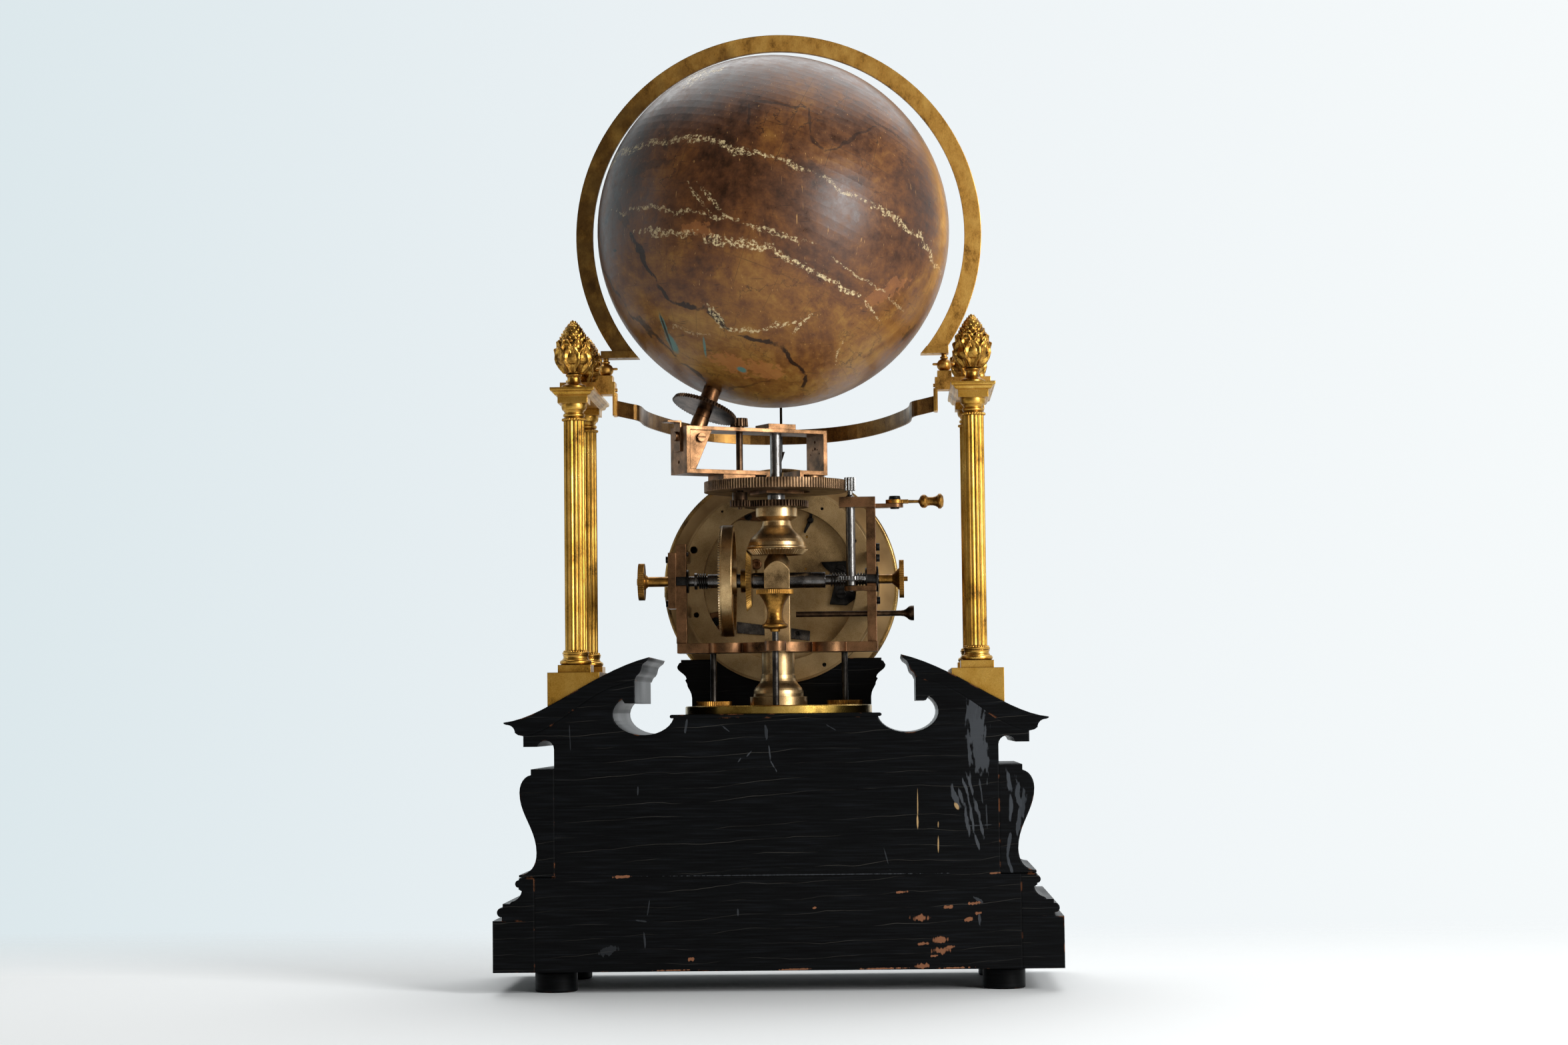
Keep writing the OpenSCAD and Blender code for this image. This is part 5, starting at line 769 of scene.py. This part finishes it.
# The side shown at rest, turned so that X runs right and Z up across it
shown = node(
    tree, "ShaderNodeMapping",
    [("Vector", centred), ("Rotation", (math.radians(-8.95), 0, math.radians(-2)))],
).outputs[0]
big = node(
    tree, "ShaderNodeTexNoise",
    [("Vector", centred), ("Scale", 14), ("Detail", 9), ("Roughness", 0.68), ("Distortion", 0.8)],
)
fine = node(
    tree, "ShaderNodeTexNoise", [("Vector", centred), ("Scale", 160), ("Detail", 5), ("Roughness", 0.7)]
)
height = node(tree, "ShaderNodeSeparateXYZ", [("Vector", shown)])
down = node(
    tree, "ShaderNodeMapRange",
    [("Value", height.outputs["Z"]), ("From Min", -70 * MM), ("From Max", 50 * MM),
     ("To Min", 0.1), ("To Max", -0.12)],
)
warm = node(tree, "ShaderNodeMath", [(0, big.outputs["Fac"]), (1, down.outputs[0])], operation="ADD")
warm = node(
    tree, "ShaderNodeMath", [(0, fine.outputs["Fac"]), (1, 0.42), (2, warm.outputs[0])],
    operation="MULTIPLY_ADD",
)
ground = node(
    tree, "ShaderNodeValToRGB", [("Fac", warm.outputs[0])],
    stops=[(0.46, "2a180d"), (0.58, "472a17"), (0.68, "5e391b"), (0.78, "744c20"), (0.94, "8f692f")],
)
# Faint printed outlines and meridians, half lost under the varnish
coast = node(
    tree, "ShaderNodeTexNoise", [("Vector", centred), ("Scale", 21), ("Detail", 9), ("Roughness", 0.58)]
)
nearly = node(tree, "ShaderNodeMath", [(0, coast.outputs["Fac"]), (1, 0.5)], operation="SUBTRACT")
nearly = node(tree, "ShaderNodeMath", [(0, nearly.outputs[0])], operation="ABSOLUTE")
outline = node(
    tree, "ShaderNodeMapRange",
    [("Value", nearly.outputs[0]), ("From Min", 0.002), ("From Max", 0.006),
     ("To Min", 0.8), ("To Max", 0)],
)
facing = node(tree, "ShaderNodeMapping", [("Vector", centred), ("Rotation", (0, 0, -AXIS_AROUND))])
polar = node(tree, "ShaderNodeMapping", [("Vector", facing.outputs[0]), ("Rotation", (0, -AXIS_TILT, 0))])
axes = node(tree, "ShaderNodeSeparateXYZ", [("Vector", polar.outputs[0])])
longitude = node(
    tree, "ShaderNodeMath", [(0, axes.outputs["Y"]), (1, axes.outputs["X"])], operation="ARCTAN2"
)
meridian = node(tree, "ShaderNodeMath", [(0, longitude.outputs[0]), (1, HALF_MESH)], operation="PINGPONG")
sine = node(tree, "ShaderNodeMath", [(0, axes.outputs["Z"]), (1, GLOBE_R * MM)], operation="DIVIDE")
latitude = node(tree, "ShaderNodeMath", [(0, sine.outputs[0])], operation="ARCSINE")
parallel = node(tree, "ShaderNodeMath", [(0, latitude.outputs[0]), (1, HALF_MESH)], operation="PINGPONG")
either = node(
    tree, "ShaderNodeMath", [(0, meridian.outputs[0]), (1, parallel.outputs[0])], operation="MINIMUM"
)
lines = node(
    tree, "ShaderNodeMapRange",
    [("Value", either.outputs[0]), ("From Min", 0.0012), ("From Max", 0.003),
     ("To Min", 0.5), ("To Max", 0)],
)
inked = node(tree, "ShaderNodeMath", [(0, outline.outputs[0]), (1, lines.outputs[0])], operation="MAXIMUM")
worn_off = node(
    tree, "ShaderNodeMapRange", [("Value", big.outputs["Fac"]), ("From Min", 0.42), ("From Max", 0.62)]
)
printed = node(
    tree, "ShaderNodeMath", [(0, inked.outputs[0]), (1, worn_off.outputs[0])], operation="MULTIPLY"
)
colour = node(
    tree, "ShaderNodeMix",
    [(0, printed.outputs[0]), (6, ground.outputs["Color"]), (7, srgb("1d120c"))], data_type="RGBA",
).outputs[2]
# Everything torn, stained or scuffed is drawn on a gently wavering copy of the near side alone
wander = node(tree, "ShaderNodeTexNoise", [("Vector", centred), ("Scale", 60), ("Detail", 4)])
turned_away = node(tree, "ShaderNodeMath", [(0, height.outputs["Y"]), (1, 0)], operation="GREATER_THAN")
aside = node(tree, "ShaderNodeCombineXYZ", [("Z", turned_away.outputs[0])])
shown = node(tree, "ShaderNodeVectorMath", [(0, shown), (1, aside.outputs[0])], operation="ADD").outputs[0]
swing = node(
    tree, "ShaderNodeVectorMath", [(0, wander.outputs["Color"]), (1, (0.5, 0.5, 0.5))], operation="SUBTRACT"
)
wavering = node(
    tree, "ShaderNodeVectorMath", [(0, swing.outputs[0]), (1, (11 * MM, 11 * MM, 11 * MM)), (2, shown)],
    operation="MULTIPLY_ADD",
).outputs[0]
ragged = node(tree, "ShaderNodeTexNoise", [("Vector", centred), ("Scale", 330), ("Detail", 4)])
# Strokes for marks, measured from the middle of the globe
stains = [
    (1.4, 0.9, (-84, 7), (-67, -29), (-58, -38), (-40, -41), (-26, -53)),
    (1.5, 0.9, (-20, -57), (2, -64), (18, -82), (16, -91)),
    (1, 0.6, (-13, 60), (-13, 73), (21, 73), (22, 54), (31, 45), (63, 60)),
    (2.2, 0.55, (-92, 50), (-92, 22), (-84, 7)),
    (1, 0.8, (-103, -16), (-88, -40), (-54, -76), (-41, -87)), (2, 0.4, (-64, 70), (-58, 48)),
    (3, 0.4, (-84, 36), (-58, 42)), (1.2, 0.7, (82, -56), (74, -64)), (1.2, 0.45, (56, 66), (76, 50)),
    (2.4, 0.35, (22, 40), (30, 26)), (1, 0.45, (-10, -84), (-30, -92)),
]
peeled = [
    (5, 0.55, (-33, -72), (-18, -78)), (4, 0.5, (-14, -76), (2, -80)), (5, 0.3, (54, -40), (72, -30)),
    (3.5, 0.35, (-52, 4), (-36, 2)),
]
scuffs = [
    (1.8, 0.65, (-97, 45), (-71, 52), (-48, 54)), (2.3, 0.95, (-50, 54), (-33, 52), (-3, 42)),
    (1.6, 0.7, (-3, 42), (21, 35)), (1.4, 0.55, (27, 31), (57, 14)), (1.9, 0.75, (55, 15), (84, -3)),
    (1.3, 0.8, (84, -3), (98, -25)), (1.5, 0.6, (-86, 14), (-56, 14), (-45, 12)),
    (1.7, 0.7, (-45, 12), (-18, 5), (18, -5)), (2.2, 0.7, (-76, 2), (-41, 0)),
    (2.6, 1, (-41, 0), (-22, -6), (-3, -8)), (2.2, 1, (-3, -8), (23, -24)),
    (1.6, 1, (23, -24), (50, -39), (58, -48)), (0.8, 0.55, (31, -14), (65, -36), (76, -50)),
    (1.6, 0.8, (-37, -42), (-28, -52), (-7, -55), (13, -50)), (1.6, 0.9, (12, -57), (21, -47)),
    (3.6, 1, (-48, 89), (-37, 94)), (1.6, 0.9, (-37, 93), (-28, 96)), (1.4, 0.8, (-47, 28), (-37, 13)),
    (1.6, 0.7, (-39, 28), (-30, 13)), (0.6, 0.7, (-88, 50), (-100, 34)),
    (1.6, 0.45, (-58, -53), (-40, -58)), (0.6, 0.6, (-76, 86), (-71, 76)),
    (0.5, 0.6, (38, -66), (34, -76)),
]
torn_wedge = [
    (1.4, 1, (-66, -46), (-62, -58)), (2.6, 1, (-62, -58), (-57, -68)),
    (0.9, 0.9, (-41, -59), (-40, -71)), (1.8, 1, (-21, -78), (-18, -79)),
]
# Painted shade: small holes and a slit beside the torn wedge, painted near black for the shade inside them
hole_shade = [
    (1, 1, (-92.4, -9), (-91.6, -9)), (0.7, 0.9, (-66.5, -44), (-59, -68.5)),
    (1, 0.9, (-98, 6), (-96, 12)),
]
flecks = node(
    tree, "ShaderNodeTexNoise", [("Vector", centred), ("Scale", 560), ("Detail", 6), ("Roughness", 0.75)]
)
left_on = node(
    tree, "ShaderNodeMapRange",
    [("Value", flecks.outputs["Fac"]), ("From Min", 0.48), ("From Max", 0.56), ("To Max", 0.95)],
)
for tone, torn, laid_on, lines in (
    ("170d09", 1.2, wavering, stains), ("a0673a", 2.6, wavering, peeled),
    ("cdb98c", 2.8, wavering, scuffs), ("4f7068", 0.6, shown, torn_wedge),
    ("0b0806", 0.3, shown, hole_shade),
):
    hit = marks(tree, laid_on, ragged.outputs["Fac"], lines, torn)
    if lines is scuffs:
        flaked = node(tree, "ShaderNodeMath", [(0, hit), (1, left_on.outputs[0])], operation="MULTIPLY")
        hit = flaked.outputs[0]
    mixed = node(tree, "ShaderNodeMix", [(0, hit), (6, colour), (7, srgb(tone))], data_type="RGBA")
    colour = mixed.outputs[2]
# Fine scratches in two directions
for turn, squeeze, tone, least in (
    (0.5, (900, 900, 45), "b58a52", 0.7), (-0.9, (60, 60, 1100), "180e08", 0.68),
):
    laid = node(
        tree, "ShaderNodeMapping", [("Vector", centred), ("Rotation", (0.2, turn, 0)), ("Scale", squeeze)]
    )
    scratch = node(tree, "ShaderNodeTexNoise", [("Vector", laid.outputs[0]), ("Scale", 1), ("Detail", 2)])
    cut = node(
        tree, "ShaderNodeMapRange",
        [("Value", scratch.outputs["Fac"]), ("From Min", least), ("From Max", least + 0.06),
         ("To Max", 0.6)],
    )
    mixed = node(
        tree, "ShaderNodeMix", [(0, cut.outputs[0]), (6, colour), (7, srgb(tone))], data_type="RGBA"
    )
    colour = mixed.outputs[2]
gloss = node(
    tree, "ShaderNodeMapRange",
    [("Value", fine.outputs["Fac"]), ("From Min", 0.3), ("From Max", 0.7),
     ("To Min", 0.27), ("To Max", 0.46)],
)
bump = node(
    tree, "ShaderNodeBump", [("Height", fine.outputs["Fac"]), ("Strength", 0.3), ("Distance", 0.3 * MM)]
)
skin = node(
    tree, "ShaderNodeBsdfPrincipled",
    [("Base Color", colour), ("Roughness", gloss.outputs[0]), ("IOR", 1.5), ("Specular IOR Level", 0.34),
     ("Normal", bump.outputs[0])],
)
tree.links.new(skin.outputs[0], surface)
wear("globe", finish=varnished)

# Studio: a pale floor that fades into a pale sweep, large soft lights from the right and above, a
# faint one from the left, and a dim room behind the camera for the metal to reflect.
FLOOR_SPAN = 6
floor_mesh = bmesh.new()
for x, y in ((-1, -1), (1, -1), (1, 1), (-1, 1)):
    floor_mesh.verts.new((x * FLOOR_SPAN, y * FLOOR_SPAN, 0))
floor_mesh.faces.new(floor_mesh.verts)
flat = bpy.data.meshes.new("studio_floor")
floor_mesh.to_mesh(flat)
studio_floor = bpy.data.objects.new("studio_floor", flat)
bpy.context.scene.collection.objects.link(studio_floor)

# To the camera the paper melts into the sweep, away from the object and all round it
paper, tree, surface = finish_of("pale_studio_paper")
place = node(tree, "ShaderNodeTexCoord").outputs["Object"]
split = node(tree, "ShaderNodeSeparateXYZ", [("Vector", place)])
far = node(
    tree, "ShaderNodeMapRange", [("Value", split.outputs["Y"]), ("From Min", 0.1), ("From Max", 0.5)]
)
wide = node(tree, "ShaderNodeVectorMath", [(0, place)], operation="LENGTH")
outer = node(
    tree, "ShaderNodeMapRange", [("Value", wide.outputs["Value"]), ("From Min", 0.7), ("From Max", 1.5)]
)
gone = node(tree, "ShaderNodeMath", [(0, far.outputs[0]), (1, outer.outputs[0])], operation="MAXIMUM")
matt = node(tree, "ShaderNodeBsdfPrincipled", [("Base Color", srgb("f3f6f7")), ("Roughness", 0.7)])
seen = node(tree, "ShaderNodeLightPath")
clear = node(tree, "ShaderNodeBsdfTransparent")
fade = node(
    tree, "ShaderNodeMath", [(0, gone.outputs[0]), (1, seen.outputs["Is Camera Ray"])], operation="MULTIPLY"
)
floor_skin = node(
    tree, "ShaderNodeMixShader", [(0, fade.outputs[0]), (1, matt.outputs[0]), (2, clear.outputs[0])]
)
tree.links.new(floor_skin.outputs[0], surface)
flat.materials.append(paper)

world = bpy.data.worlds.new("studio_room")
bpy.context.scene.world = world
world.use_nodes = True
tree = world.node_tree
tree.nodes.clear()
way = node(tree, "ShaderNodeTexCoord").outputs["Generated"]
split = node(tree, "ShaderNodeSeparateXYZ", [("Vector", way)])
# Behind the object the sweep runs from a blue grey at the left to white at the right
sideways = node(
    tree, "ShaderNodeMapRange", [("Value", split.outputs["X"]), ("From Min", -0.3), ("From Max", 0.22)]
)
sweep = node(
    tree, "ShaderNodeValToRGB", [("Fac", sideways.outputs[0])],
    stops=[(0, "dbe7eb"), (0.5, "ecf2f5"), (1, "f6fafb")],
)
# Behind the camera the room is dim, darkest at the left
behind = node(
    tree, "ShaderNodeMapRange", [("Value", split.outputs["Y"]), ("From Min", 0.3), ("From Max", -0.3)]
)
room_way = node(
    tree, "ShaderNodeMapRange", [("Value", split.outputs["X"]), ("From Min", -1), ("From Max", 1)]
)
room_tone = node(
    tree, "ShaderNodeValToRGB", [("Fac", room_way.outputs[0])],
    stops=[(0, "6b6258"), (0.36, "37312b"), (0.44, "4a433b"), (0.5, "b3a99c"), (0.56, "e2dbd0"),
           (1, "ffffff")],
)
around = node(
    tree, "ShaderNodeMix",
    [(0, behind.outputs[0]), (6, sweep.outputs["Color"]), (7, room_tone.outputs["Color"])],
    data_type="RGBA",
)
# The ceiling is dark
upward = node(
    tree, "ShaderNodeMapRange",
    [("Value", split.outputs["Z"]), ("From Min", 0.3), ("From Max", 0.7), ("To Max", 0.85)],
)
around = node(
    tree, "ShaderNodeMix",
    [(0, upward.outputs[0]), (6, around.outputs[2]), (7, srgb("4a443d"))], data_type="RGBA",
)
# Camera rays see the plain sweep, mirrors see the room, and matt surfaces get about half its light
path = node(tree, "ShaderNodeLightPath")
straight = node(
    tree, "ShaderNodeMath",
    [(0, path.outputs["Is Camera Ray"]), (1, path.outputs["Is Transmission Ray"])], operation="MAXIMUM",
)
mirrored = node(tree, "ShaderNodeBackground", [("Color", around.outputs[2]), ("Strength", 1)])
ambient = node(tree, "ShaderNodeBackground", [("Color", around.outputs[2]), ("Strength", 0.55)])
backdrop = node(tree, "ShaderNodeBackground", [("Color", sweep.outputs["Color"]), ("Strength", 1)])
light = node(
    tree, "ShaderNodeMixShader",
    [(0, path.outputs["Is Glossy Ray"]), (1, ambient.outputs[0]), (2, mirrored.outputs[0])],
)
light = node(
    tree, "ShaderNodeMixShader", [(0, straight.outputs[0]), (1, light.outputs[0]), (2, backdrop.outputs[0])]
)
node(tree, "ShaderNodeOutputWorld", [("Surface", light.outputs[0])])

# Lamps: name, place, the height they aim at on the axis, width and height in metres, and watts
for name, spot, aim, width, tall, watts in (
    ("softbox_right", (1.3, -1.25, 0.76), 0.33, 0.7, 0.9, 36),
    ("softbox_left", (-1.9, -0.2, 0.7), 0.3, 0.4, 1.2, 2),
    ("softbox_above", (0.1, 0.8, 1.9), 0.3, 2.2, 2.0, 34),
):
    lamp = bpy.data.lights.new(name, "AREA")
    lamp.shape = "RECTANGLE"
    lamp.size = width
    lamp.size_y = tall
    lamp.energy = watts
    held = bpy.data.objects.new(name, lamp)
    held.location = spot
    held.rotation_euler = (Vector((0, 0, aim)) - Vector(spot)).to_track_quat("-Z", "Y").to_euler()
    bpy.context.scene.collection.objects.link(held)

# Camera: low in front of the case, turned a little left and up as in the photograph
EYE, YAW, PITCH, ROLL = Vector((64.7, -1821, 157.7)), 1.897, 3.572, -0.658
lens = bpy.data.cameras.new("studio_camera")
lens.sensor_width = 36
lens.sensor_fit = "HORIZONTAL"
lens.lens = 70.84
eye = bpy.data.objects.new("studio_camera", lens)
stance = Matrix.Translation(EYE * MM)
for degrees, axis in ((YAW, "Z"), (90 + PITCH, "X"), (ROLL, "Z")):
    stance = stance @ Matrix.Rotation(math.radians(degrees), 4, axis)
eye.matrix_world = stance
bpy.context.scene.collection.objects.link(eye)
bpy.context.scene.camera = eye
bpy.context.scene.view_settings.view_transform = "Standard"
